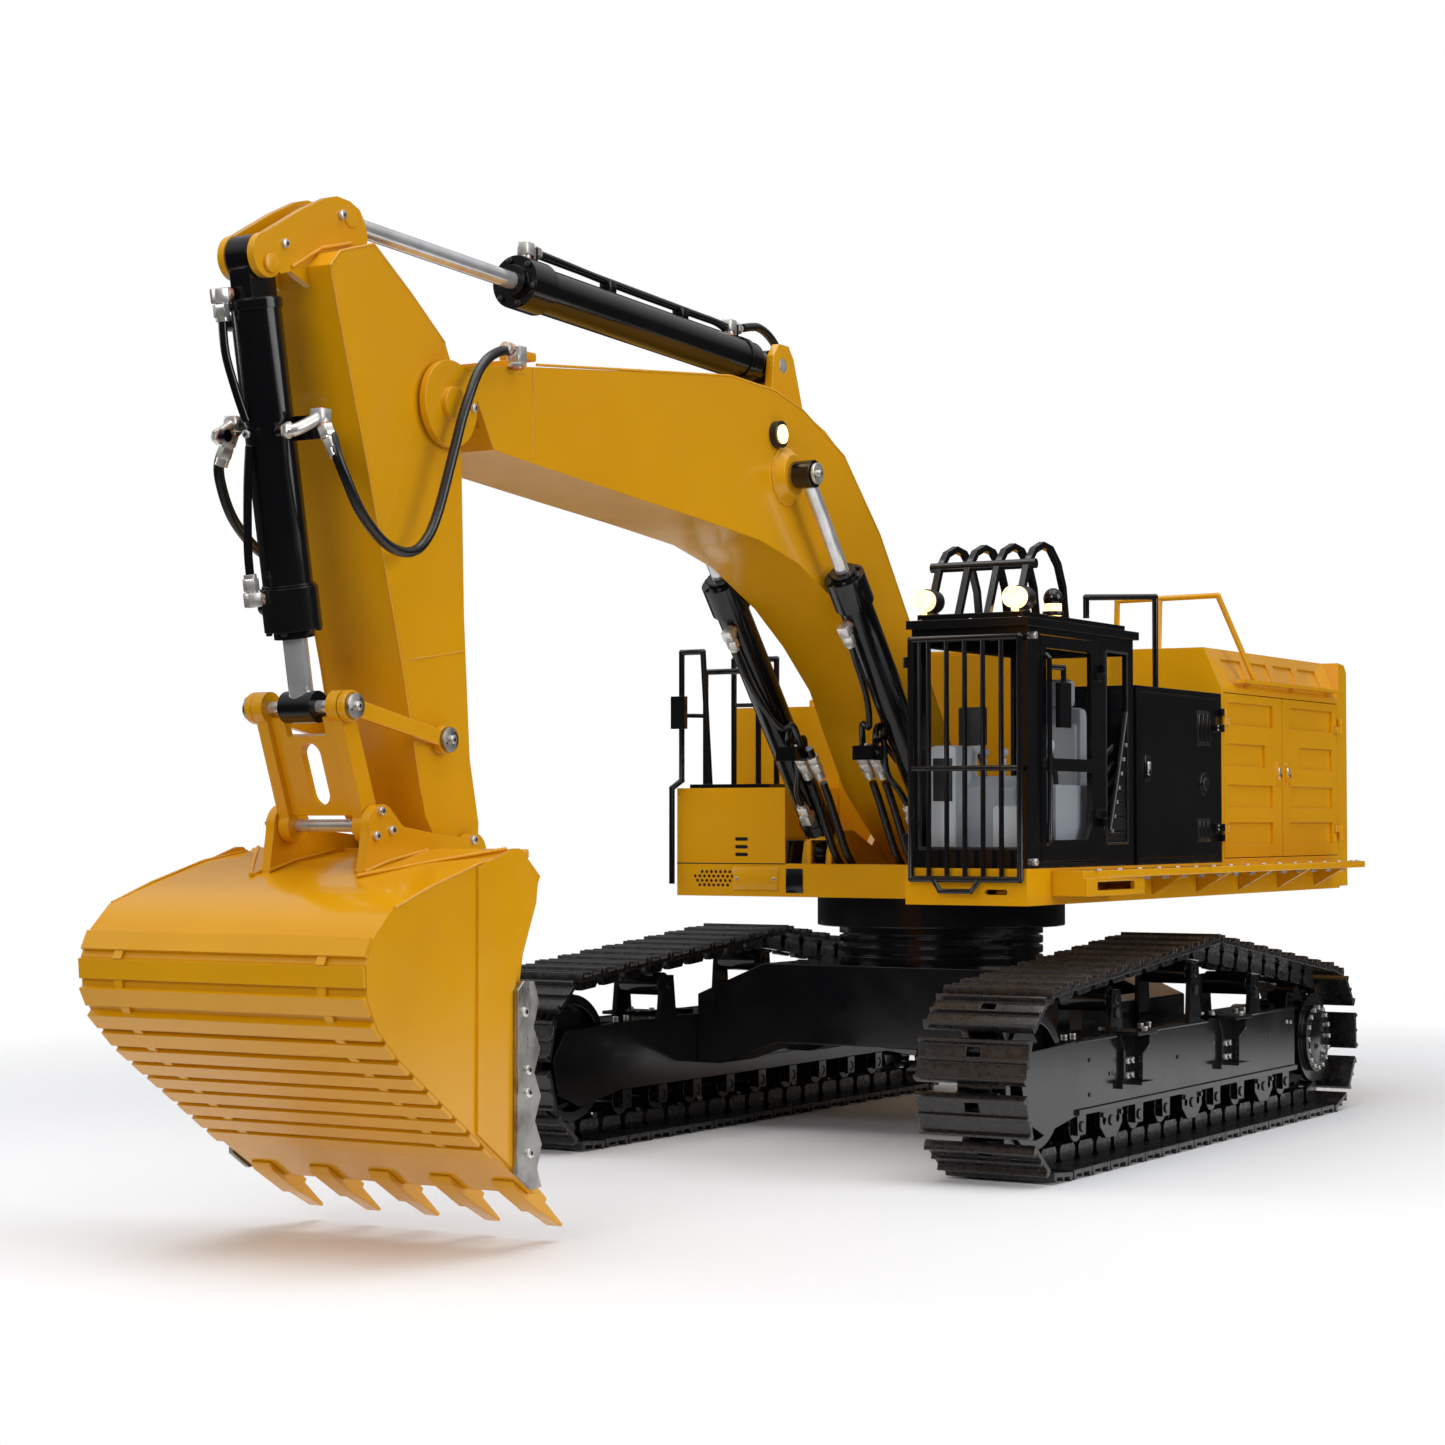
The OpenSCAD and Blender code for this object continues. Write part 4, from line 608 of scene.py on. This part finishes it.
def boom_cylinder_fittings():
    """Gland screws, collars, elbows with hard pipes down to the clamp, and the deck hoses' unions."""
    kit = Kit()
    for s in (1, -1):
        line = Axis(BOOM_EYE, CYL_FOOT, s * CYL_X)
        ring_of_bolts(kit, line.at(57.6), -line.along, 8.0, 6, 1.1, satin_black, 1.2)
        collar(kit, line, 73.3, 74.6, 9.0, 32)
        collar(kit, line, 206, 208, 8.8, 32)
        near, far = (Vector((s * x, -120, 198)) for x in (17.5, 24.5))
        end = elbow(kit, line.at(80, -8.0, -s * 2), -line.across, line.along)
        pipe(kit, [end - line.along, line.at(98, -13.4, -s * 2), line.at(120, -12.6, -s * 4),
                   line.at(138, -12, -s * 9), near + Vector((s * 2, -4, 10)), near], 1.6)
        end = elbow(kit, line.at(196, -7.8, -s * 4), -line.across, -line.along)
        pipe(kit, [end + line.along, line.at(178, -13.2, -s * 5), line.at(166, -11.6, -s * 9),
                   far + Vector((s * 1, 6, 7)), far + Vector((0, 2, 9)), far + Vector((0, 0, 4)), far], 1.6)
        for x in DECK_HOSE_X:
            top = Vector((s * x, -116, 194.5))
            d = (Vector((s * x, *DECK_ROUTE[0])) - top).normalized()
            stack(kit, top - d * 3, d, (sleeve(5.0, 2.2, black), nut(3.6, 3.2), sleeve(0.8, 2.5),
                                        nut(5.0, 3.0), sleeve(4.6, 2.6)))
        kit.bolt((s * 19.5, -120, 197.5), UP, 1.3, nickel, 1.2)
        pipe(kit, [line.at(168, -2, -s * 7.6), line.at(152, -2, -s * 13), (s * 27, -124, 194)], 1.4)
    kit.finish("boom_cylinder_fittings", "boom_barrels")


def stick_cylinder_fittings():
    """Gland screws, collars, and a hard pipe in two clamps between two elbows on top."""
    kit = Kit()
    line = Axis(STICK_CYL_EYE, STICK_CYL_FOOT)
    top = 1 if line.across.z > 0 else -1
    ring_of_bolts(kit, line.at(120.1), -line.along, 9.4, 6, 1.3, satin_black, 1.4)
    collar(kit, line, 136, 137.4, 10.4)
    collar(kit, line, 299, 303, 10.3)
    end = elbow(kit, line.at(127, top * 10.6), line.across * top, line.along)
    elbow(kit, line.at(293, top * 9.4), line.across * top, line.along)
    bends = ((150, 14.8), (200, 13.6), (260, 13.4), (280, 13.4), (289, 12))
    pipe(kit, [end - line.along * 2, *(line.at(t, top * rise) for t, rise in bends)], 1.7)
    for t in (190, 250):
        clamp = line.at(t, top * 11.5)
        kit.box(clamp - Vector((3, 2.5, 2.5)), clamp + Vector((3, 2.5, 2.6)), black, 0.4)
    kit.finish("stick_cylinder_fittings", "stick_barrel")


def bucket_cylinder_fittings():
    """Gland screws, collars, two elbows with their pipes, and the clamp with a hose fitting on each side."""
    kit = Kit()
    line = Axis(LINK_TOP, BUCKET_CYL_TOP)
    clamp, outward = 102.5, line.across - LEFT * 0.5
    ring_of_bolts(kit, line.at(29), -line.along, 9.2, 6, 1.2, satin_black, 1.3)
    collar(kit, line, 44.6, 46, 10.0)
    collar(kit, line, 147, 150.6, 9.9)
    ring_of_bolts(kit, line.at(27.2), -line.along, 6.2, 4, 0.8, nickel, 0.6)
    low_end = elbow(kit, line.at(42, 8.6, -5), outward, line.along)
    top_end = elbow(kit, line.at(153, 7.6, -4.5), outward, -line.along)
    pipe(kit, [low_end - line.along, line.at(62, 12.6, -6.5), line.at(84, 11.6, -4),
               line.at(98, 10.5, -2)], 1.6)
    pipe(kit, [top_end + line.along, line.at(132, 12.8, -6), line.at(118, 11.8, -4),
               line.at(107, 10.5, -2)], 1.6)
    kit.bolt(line.at(clamp, 13.4), line.across, 1.5, nickel, 1.2)
    for s in (1, -1):
        stack(kit, line.at(clamp, 10, s * 12), s * LEFT,
              (sleeve(2.6, 2.4, black), sleeve(0.7, 2.4, copper), nut(2.2)))
        corner = Vector((s * 20.5, -544.5, 308))
        arm = [line.at(clamp, 10, s * 15), line.at(clamp, 8, s * 18.5), corner]
        kit.tube(curve_through(arm), 2.3, nickel)
        cube(kit, corner, 2.9, 0.5)
        tip = Vector((s * 28.4, -543.6, 290.5))
        stack(kit, corner, tip - corner, (sleeve(3.4, 2.3), sleeve(0.6, 2.6, copper), nut(4.4, 3.2),
                                          sleeve(0.7, 2.6), nut(4.2, 2.9), sleeve(3.0, 2.55)))
    kit.finish("bucket_cylinder_fittings", "bucket_barrel")


def boom_fittings():
    """Hose unions on the boom's top, welds, lamp rims and keeper screws."""
    kit = Kit()
    weld_x = BOOM_HALF - 0.2
    back_edge = ((-410, 345), (-348, 351.5), (-256, 361), (-217, 359.4), (-190, 353.4), (-150, 336.4),
                 (-113, 301.4), (-60, 232.4), (-22, 182))
    for s in (1, -1):
        end, d = Vector((s * 26.5, -433, 347.5)), Vector((s * -1.5, 9, -0.6))
        last = stack(kit, end - d.normalized() * 5, d, (sleeve(3.2, 2.5), sleeve(0.8, 2.8, copper), nut(3.8)))
        kit.box(last + Vector((-2.9, -1, -4.2)), last + Vector((2.9, 5.4, 2.4)), nickel, 0.5)
        stack(kit, last + Vector((0, 2.2, -3.6)), (0, 0, -1), (nut(2.4), sleeve(0.8, 2.6, copper)))
        kit.bolt((s * BOOM_HALF, -454, 322), s * LEFT, 1.7, nickel, 1.3)
        weld(kit, [(weld_x, -413, 343), (weld_x, -412.5, 325), (weld_x, -413, 306)], 0.65, s)
        weld(kit, [(weld_x, y, z) for y, z in back_edge], 0.6, s)
        weld(kit, [(10.8, -196, 357), (10.8, -180, 351.8), (10.8, -164, 344.8)], 0.8, s)
        weld(kit, circle(BOOM_HALF + 0.3, BOOM_EYE, 14, 12), 0.7, s)
        cap = Vector((s * (CYL_X + 6.6), *BOOM_EYE))
        kit.bolt(cap, s * LEFT, 1.7, nickel, 1.4)
        # The cap's two small holes are flat black discs on its face: painted shade of the holes.
        for hole in (Vector((0, 2.9, 1.6)), Vector((0, -2.9, -1.6))):
            kit.cyl(cap + hole - s * LEFT * 0.2, cap + hole + s * LEFT * 0.1, 0.6, satin_black, 12)
        kit.cyl((s * (BOOM_HALF - 0.2), -216, 339), (s * (BOOM_HALF + 3.4), -216, 339), 6.2, satin_black, 40)
        for y, z in ((-72, 205), (-98, 236)):
            kit.bolt((s * BOOM_HALF, y, z), s * LEFT, 1.5, satin_black, 0.8)
    for y in (-300, -250, -390):
        kit.box((-6, y - 5, 351), (6, y + 5, 354.6 + (y + 390) * 0.05), yellow, 0.6)
    union = Vector((-3, -141, 340))
    stack(kit, union + Vector((0, -3, 5)), (0, 3, -6),
          (sleeve(3, 2.5), nut(4), sleeve(0.8, 2.4, copper), sleeve(6, 2.4)))
    kit.finish("boom_fittings", "boom")


def stick_welds():
    """Welds of the stick, keeper screws and painted pin ends on its two cheeks."""
    kit = Kit()
    pin_end, eye = Vector((8.5, -559, 363)), Vector((8.5, *STICK_CYL_EYE))
    for s in (1, -1):
        kit.bolt((s * 8.5, -551, 371.5), s * LEFT, 1.7, nickel, 1.4)
        kit.bolt((s * 8.5, -518, 388), s * LEFT, 1.8, nickel, 1.6)
        for (x, y, z), height, r, chamfer in ((pin_end, 1.4, 3.6, 0.4), (eye, 0.3, 4.2, 0.0)):
            kit.cyl((s * x, y, z), (s * (x + height), y, z), r, yellow, 32, chamfer=chamfer)
        weld(kit, [(8.8, -547, 363.5), (9, -536, 370), (9, -530, 373.5), (9, -512, 378.4)], 0.8, s)
        nose = ((-538, 364.5), (-532, 371), (-512, 377), (-489, 362), (-467, 346))
        weld(kit, [(19.3, y, z) for y, z in nose], 0.55, s)
        weld(kit, [(19.3, -537.5, 363), (19.4, -516, 295), (19.4, -494, 221), (19.3, -481, 170)], 0.5, s)
        weld(kit, [(19.3, -489, 222), (19.4, -475, 224), (19.3, -454, 227)], 0.5, s)
    kit.finish("stick_welds", "stick")


def link_pin_caps():
    """Dark caps with one screw and two small holes, the holes drawn as flat black discs: painted shade."""
    kit = Kit()
    for s in (1, -1):
        for y, z in (LINK_STICK, LINK_TOP):
            x = s * (STICK_HALF + 4)
            kit.cyl((x, y, z), (x + s * 1.8, y, z), 4.85, steel, 40, chamfer=0.35)
            kit.bolt((x + s * 1.8, y, z), s * LEFT, 1.7, nickel, 1.4)
            # Two flat black discs stand for the small holes: painted shade of the holes.
            for a in (0.9, 3.6):
                hole = Vector((x + s * 1.7, y + 3.3 * math.cos(a), z + 3.3 * math.sin(a)))
                kit.cyl(hole, hole + s * LEFT * 0.2, 0.55, satin_black, 12)
    kit.finish("link_pin_caps", "idler_links")


def bucket_hardware():
    """Hub screws, cutter bolts, the ears' foot plate and welds."""
    kit = Kit()
    ear_x, shell_x, cutter_x = 24.5, 66, 69.2
    for s in (1, -1):
        for y, z in (BUCKET_EAR, BUCKET_HINGE):
            ring_of_bolts(kit, (s * ear_x, y, z), s * LEFT, 5.6, 3, 1.7, nickel, 1.4, start=1.0)
        for y, z in ((-484.4, 90), (-482, 68.4), (-482, 60), (-481, 37.5)):
            kit.bolt((s * cutter_x, y, z), s * LEFT, 1.9, nickel, 1.3)
        kit.plate([(s * 25, -528, 140.8), (s * 25, -482, 150.2), (s * 60, -482, 150.4)], (0, 0, -3), yellow)
        weld(kit, [(25, -528, 140.6), (42, -506, 145.6), (60, -482, 150.4)], 0.8, s)
        for x in (24.7, 20.3):
            weld(kit, [(x, -523, 142), (x, -508, 146), (x, -484, 149.8)], 0.7, s)
        weld(kit, [(65.8, -482, 149), (65.8, -508, 145.2), (65.8, -538, 137.2), (65.8, -559, 130.2)], 0.6, s)
    kit.box((-shell_x, -479.5, 146.6), (shell_x, -476, 150.2), yellow, 0.8)
    kit.finish("bucket_hardware", "bucket")


boom_cylinder_fittings()
stick_cylinder_fittings()
bucket_cylinder_fittings()
boom_fittings()
stick_welds()
link_pin_caps()
bucket_hardware()

# ---------------------------------------------------------------- house

DECK_Z, SILL_Z, FRONT_Y, HOUSE_LEFT, HOUSE_RIGHT = 122, 139, -80, 128, 114
WALK_Z, HOOD_Z = 138, 254


def walkway_screws(kit):
    for y in range(-130, 240, 24):
        kit.bolt((146.5, y, WALK_Z), UP, 1.4, nickel, 0.7)
        if y > -70:
            kit.cyl((140, y, 132.6), (140, y, 134.6), 2.0, nickel, 6)
    kit.bolt((147.6, 236, WALK_Z), UP, 1.4, nickel, 0.7)


def deck_front(kit):
    """Hatch, vent slots drawn as flat black strips (painted shade inside the slots), a thin black strip along
    the seam under the toolbox (painted shade in the gap), the screen beside it and the front opening's posts.
    """
    kit.box((-80, FRONT_Y - 0.5, 125), (-53, FRONT_Y + 1, 137), yellow, 0.5)
    for x in (-77.5, -55.5):
        kit.bolt((x, FRONT_Y - 0.5, 131), (0, -1, 0), 0.9, nickel, 0.4)
    # Three flat satin-black strips stand for the vent slots: painted shade inside the slots.
    for z in (143.5, 147.5, 151.5):
        kit.box((-79, FRONT_Y + 0.7, z - 1), (-71, FRONT_Y + 1.4, z + 1), satin_black, 0)
    kit.box((-104, FRONT_Y + 1.2, 126), (-79, FRONT_Y + 2.2, 137), satin_black, 0)
    # A thin satin-black strip along the seam under the toolbox: painted shade in the gap between toolbox and
    # deck.
    kit.box((-HOUSE_RIGHT - 0.1, FRONT_Y - 0.12, SILL_Z - 0.4), (-48.9, -24, SILL_Z + 0.1), satin_black, 0)
    kit.box((-48.6, FRONT_Y - 0.4, 124), (-38.5, FRONT_Y + 0.5, 136.5), black, 0.3)
    kit.box((-48.8, FRONT_Y + 1, DECK_Z + 3), (-47.6, -24, SILL_Z + 12), black, 0.3)
    for x in (-38, -26):
        kit.box((x, FRONT_Y + 3, SILL_Z - 4), (x + 2.4, FRONT_Y + 5.4, SILL_Z + 14), yellow, 0.4)
    kit.box((-38, FRONT_Y + 3, SILL_Z + 12), (-23.6, FRONT_Y + 5.4, SILL_Z + 14), yellow, 0.4)
    for x in (-100, -62):
        kit.bolt((x, -60, 178), UP, 1.4, nickel, 0.8)


def hood_top(kit):
    """Seam strip, exhaust, cover plate with its screws, and two lifting eyes on the counterweight."""
    kit.box((-103, 78, HOOD_Z - 1.4), (-20, 100, HOOD_Z + 1.6), yellow, 0.8)
    kit.cyl((20, 120, 252), (20, 120, 262), 6, black, 32, chamfer=0.6)
    kit.cyl((20, 120, 262), (20, 120, 263.4), 4.6, satin_black, 32)
    kit.box((-90, 130, 252.4), (40, 240, HOOD_Z), yellow, 0.8)
    for x, y in ((-86, 134), (36, 134), (-86, 236), (36, 236)):
        kit.bolt((x, y, HOOD_Z), UP, 1.5, nickel, 0.8)
    eye = ((282, 238), (282, 247), (286, 250), (290, 247), (290, 238))
    for x in (-60, 75):
        kit.cyl((x, 286, 236), (x, 286, 240), 3.4, satin_black, 24)
        kit.tube(curve_through([(x, y, z) for y, z in eye]), 1.2, black, 10)


kit = Kit()
walkway_screws(kit)
deck_front(kit)
hood_top(kit)
kit.finish("house_hardware", "house")


def door_furniture(name, body, latch_y, hinge_y, heights, coat):
    """A recessed latch with its lock barrel, and screws on the hinge leaves."""
    kit = Kit()
    x, y, z = HOUSE_LEFT, latch_y, 187
    kit.box((x - 0.3, y - 3.2, z - 6.4), (x + 0.7, y + 3.2, z + 6.4), coat, 0.35)
    kit.box((x + 0.4, y - 1.6, z - 3.4), (x + 1.5, y + 1.6, z + 3.4), nickel, 0.3)
    kit.cyl((x + 0.6, y, z - 1.2), (x + 2.2, y, z - 1.2), 0.9, satin_black, 16)
    for height in heights:
        for rise in (1.0, 3.0):
            kit.bolt((x + 1.5, hinge_y, height + rise), LEFT, 0.5, nickel, 0.35)
    kit.finish(name, body)


def pump_door_grilles():
    """Two louvred grilles and a round cap on the pump door."""
    kit = Kit()
    x = HOUSE_LEFT
    for z0, z1 in ((200, 218), (150, 162)):
        kit.box((x - 0.2, 40, z0), (x + 0.35, 58, z1), satin_black, 0.3)
        for i in range(3):
            kit.box((x + 0.2, 41.5 + i * 5.6, z0 + 1.5), (x + 0.9, 45 + i * 5.6, z1 - 1.5), black, 0.3)
    kit.cyl((x - 0.2, 49, 180), (x + 1.0, 49, 180), 6, black, 40, chamfer=0.4)
    kit.cyl((x + 0.6, 49, 180), (x + 1.7, 49, 180), 3.4, satin_black, 32, chamfer=0.3)
    kit.finish("pump_door_grilles", "pump_door")


door_furniture("latch_front", "engine_door_front", 160, 81, (154.4, 211.6), yellow)
door_furniture("latch_rear", "engine_door_rear", 174, 253, (154.4, 211.6), yellow)
door_furniture("latch_pump", "pump_door", -27, 66, (155.4, 207.6), black)
pump_door_grilles()

# ---------------------------------------------------------------- cab

CAB_RIGHT, CAB_LEFT, CAB_FRONT, CAB_BACK = 68, 127, -166, -42
FLOOR_Z = 141.6


def gasket(kit, axis, at, a, b, r=0.9):
    """A rubber bead round a rectangular opening in the plane axis = at."""
    (u0, v0), (u1, v1) = a, b
    loop = ((u0, v0), (u1, v0), (u1, v1), (u0, v1), (u0, v0))
    for (p, q), (m, n) in zip(loop, loop[1:]):
        ends = [(at, p, q), (at, m, n)] if axis == "x" else [(p, at, q), (m, at, n)]
        kit.cyl(ends[0], ends[1], r, satin_black, 10)


def cab_gaskets(kit):
    gasket(kit, "y", CAB_FRONT, (CAB_RIGHT + 4, 148), (CAB_LEFT - 4, 245))
    gasket(kit, "y", CAB_BACK, (CAB_RIGHT + 4, 165), (CAB_LEFT - 4, 243))
    gasket(kit, "x", CAB_RIGHT, (-152, 165), (-56, 243))
    gasket(kit, "x", CAB_LEFT, (-76, 150), (-50, 243), 0.7)


def quarter_panel(kit):
    """Behind the door: a sloping rail, and a vented triangle with a row of screws."""
    x, bottom, top, front, back = CAB_LEFT - 0.4, 151, 210, -75, -51
    rail = [(CAB_LEFT + 0.8, -74, 156), (CAB_LEFT + 1.0, -66, 178), (CAB_LEFT + 0.8, -53, 214)]
    kit.tube(rail, 1.3, black, 12)
    kit.plate([(x, front, bottom), (x, back, bottom), (x, back, top)], (-1, 0, 0), satin_black)
    for i in range(7):
        z = bottom + 5 + i * 7
        slope_y = front + (z - bottom) / (top - bottom) * (back - front) + 3
        kit.bolt((x, slope_y + 2, z), LEFT, 0.9, nickel, 0.8)
        if slope_y + 5 < -53:
            kit.box((CAB_LEFT - 0.5, slope_y + 4.5, z - 1), (CAB_LEFT + 0.2, -52.5, z + 1), black, 0.3)
    for z in (246, 142):
        kit.cyl((CAB_LEFT - 0.2, -160, z), (CAB_LEFT + 2.2, -160, z), 1.7, nickel, 20, chamfer=0.3)


def cab_inside(kit):
    """Consoles, levers, pedals' rods and the seat's cushions."""
    kit.box((74, -160, FLOOR_Z), (88, -136, 196), console_white, 2.0)
    kit.box((76, -160.5, 170), (86, -159.6, 190), case_black, 0.4)
    kit.box((105, -158, FLOOR_Z), (121, -140, 168), console_white, 2.0)
    kit.box((84, -150, 196), (98, -147, 214), case_black, 0.8)
    for x in (80, 117):
        pipe(kit, [(x, -112, 176), (x, -114, 186), (x - 1, -118, 194)], 1.3, satin_black)
        kit.ball((x - 1, -118.5, 196.5), 3.0, console_white, (1, 1, 1.3))
    for x in (93, 103):
        pipe(kit, [(x, -140, 142), (x, -142, 168), (x, -140, 190)], 1.2, seat_grey)
        kit.ball((x, -140, 193), 2.2, seat_grey)
    kit.box((80, -108, 156), (116, -72, 168), seat_grey, 3.0)
    kit.box((82, -76, 164), (114, -66, 216), seat_grey, 3.5)
    kit.box((88, -75, 216), (108, -67, 230), seat_grey, 3.0)
    kit.box((84, -79, 172), (112, -75, 208), console_white, 1.6)


def cab_lamps(kit):
    """The beacon, and the two roof lamps' housings with their feet."""
    lamp_z = 263.5
    kit.cyl((123, -128, 257), (123, -128, 259), 5.0, satin_black, 32, chamfer=0.3)
    kit.ball((123, -128, 265), 4.6, black, (1, 1, 1.1), 28)
    for x in (74, 121):
        kit.cyl((x, -162.6, lamp_z), (x, -155, lamp_z), 5.7, satin_black, 36, chamfer=0.5)
        kit.ball((x, -155, lamp_z), 5.6, satin_black, (1, 0.7, 1), 28)
        kit.box((x - 3.5, -162, 256.6), (x + 3.5, -156, 258), satin_black, 0.3)
    for x in (72, 98, 123):
        kit.bolt((x, -165, 254), UP, 1.0, nickel, 0.5)


kit = Kit()
cab_gaskets(kit)
quarter_panel(kit)
cab_inside(kit)
cab_lamps(kit)
kit.finish("cab_furniture", "house")

# ---------------------------------------------------------------- undercarriage


def frame_bolts():
    """Screws, plates and plugs on the outer side and the top of each track frame."""
    kit = Kit()
    frame_half, step_y = 15, (-84, 44)
    for s in (1, -1):
        side = s * (TRACK_X + frame_half)
        for y in step_y:
            for z in (40, 47):
                for k in (-4.5, 1):
                    kit.bolt((side + s * 2, y + k, z), s * LEFT, 1.5, nickel, 1.7)
            for dx, dy in ((-3, -8), (6, 9), (-9, -8), (-9, 6)):
                kit.bolt((side + s * dx, y + dy, 61.3), UP, 1.5, nickel, 1.3)
        for y in (-122, -112, -30, -20, 100, 112):
            kit.bolt((s * TRACK_X, y, 59.5), UP, 1.6, nickel, 1.3)
        rim = sorted((side - s * 1.2, side + s * 0.6))
        kit.box((rim[0], -141, 58.4), (rim[1], 149, 60), black, 0.4)
        for y in (138, 144):
            kit.bolt((side, y, 52 - (y - 138) * 0.1), s * LEFT, 1.0, nickel, 0.6)
        for y, z in ((-126, 50), (-100, 42), (-18, 44), (62, 40), (-126, 34), (110, 46)):
            kit.cyl((side - s * 0.1, y, z), (side + s * 0.15, y, z), 1.1, satin_black, 20)
        for y, z in ((-95, 70), (5, 76), (90, 70)):
            kit.cyl((side - s * 0.4, y, z), (side + s * 0.8, y, z), 2.8, satin_black, 6)
    kit.finish("frame_bolts", "undercarriage")


def hub_bolts(s, name):
    """The cover disc on a sprocket's outer side with its ring of screws."""
    kit = Kit()
    hub = Vector((s * (TRACK_X + 17.7), 180, 41))
    kit.cyl(hub - s * LEFT * 0.4, hub + s * LEFT * 0.5, 14.2, black, 48, chamfer=0.4)
    ring_of_bolts(kit, hub, s * LEFT, 16.6, 16, 1.2, nickel, 1.5)
    ring_of_bolts(kit, hub + s * LEFT * 0.5, s * LEFT, 6.5, 2, 1.5, satin_black, 0.9)
    kit.finish("hub_bolts_" + name, "sprocket_" + name)


frame_bolts()
hub_bolts(1, "left")
hub_bolts(-1, "right")

# ---------------------------------------------------------------- studio

FLOOR_HALF = 12
PAPER_ENDS, WHITE_STARTS = 0.5, 0.9


def fading_floor():
    """Pale paper that thins out with distance, so the white behind it shows and there is no horizon."""
    corners = [(x * FLOOR_HALF, y * FLOOR_HALF, 0) for x, y in ((-1, -1), (1, -1), (1, 1), (-1, 1))]
    mesh = bpy.data.meshes.new("floor")
    mesh.from_pydata(corners, [], [(0, 1, 2, 3)])
    floor = bpy.data.objects.new("floor", mesh)
    floor.location.z = -0.0002
    scene.collection.objects.link(floor)
    paper, tree, bsdf = shader("studio_paper", (0.96, 0.965, 0.98), 0.55)
    bump(tree, bsdf, noise(tree, 300, 2), 0.02, 0.0005)
    clear = tree.nodes.new("ShaderNodeBsdfTransparent")
    spot = tree.nodes.new("ShaderNodeTexCoord")
    reach = tree.nodes.new("ShaderNodeVectorMath")
    reach.operation = "LENGTH"
    tree.links.new(spot.outputs["Object"], reach.inputs[0])
    fade = blend_shaders(tree, bsdf, clear)
    tree.links.new(ramp(tree, reach.outputs["Value"], PAPER_ENDS, WHITE_STARTS, 0, 1), fade.inputs[0])
    tree.links.new(fade.outputs[0], tree.nodes["Material Output"].inputs[0])
    mesh.materials.append(paper)
    return floor


def studio_world():
    """White behind the model, a soft cool fill, and a dark horizon in reflections that keeps black black."""
    world = bpy.data.worlds.new("studio")
    scene.world = world
    world.use_nodes = True
    tree = world.node_tree
    fill = tree.nodes["Background"]
    fill.inputs[0].default_value = (0.93, 0.96, 1, 1)
    fill.inputs[1].default_value = 0.26
    white = tree.nodes.new("ShaderNodeBackground")
    white.inputs[0].default_value = (1, 1, 1, 1)
    ceiling = tree.nodes.new("ShaderNodeBackground")
    heading = tree.nodes.new("ShaderNodeTexCoord")
    split = tree.nodes.new("ShaderNodeSeparateXYZ")
    tree.links.new(heading.outputs["Generated"], split.inputs[0])
    tree.links.new(ramp(tree, split.outputs["Z"], 0.12, 0.6, 0.035, 0.7), ceiling.inputs[1])
    ray = tree.nodes.new("ShaderNodeLightPath")
    lighting = blend_shaders(tree, fill, ceiling)
    tree.links.new(ray.outputs["Is Glossy Ray"], lighting.inputs[0])
    seen = blend_shaders(tree, lighting, white)
    tree.links.new(ray.outputs["Is Camera Ray"], seen.inputs[0])
    tree.links.new(seen.outputs[0], tree.nodes["World Output"].inputs[0])


def softbox(name, at, aim, size, power):
    light = bpy.data.lights.new(name, "AREA")
    light.shape, light.size, light.size_y = "RECTANGLE", size[0], size[1]
    light.energy = power
    lamp = bpy.data.objects.new(name, light)
    lamp.location = at
    lamp.rotation_euler = (Vector(aim) - Vector(at)).to_track_quat("-Z", "Y").to_euler()
    scene.collection.objects.link(lamp)


fading_floor()
studio_world()
softbox("overhead", (0.1, -0.5, 2.0), (0, -0.1, 0.1), (2.2, 2.0), 32)
softbox("front", (0.3, -2.4, 1.1), (0, -0.2, 0.15), (1.0, 0.9), 14)
softbox("left_side", (-1.9, -0.9, 0.9), (0, -0.2, 0.2), (1.0, 1.2), 9)
softbox("right_side", (2.0, 0.1, 0.9), (0, 0, 0.15), (1.4, 1.1), 17)
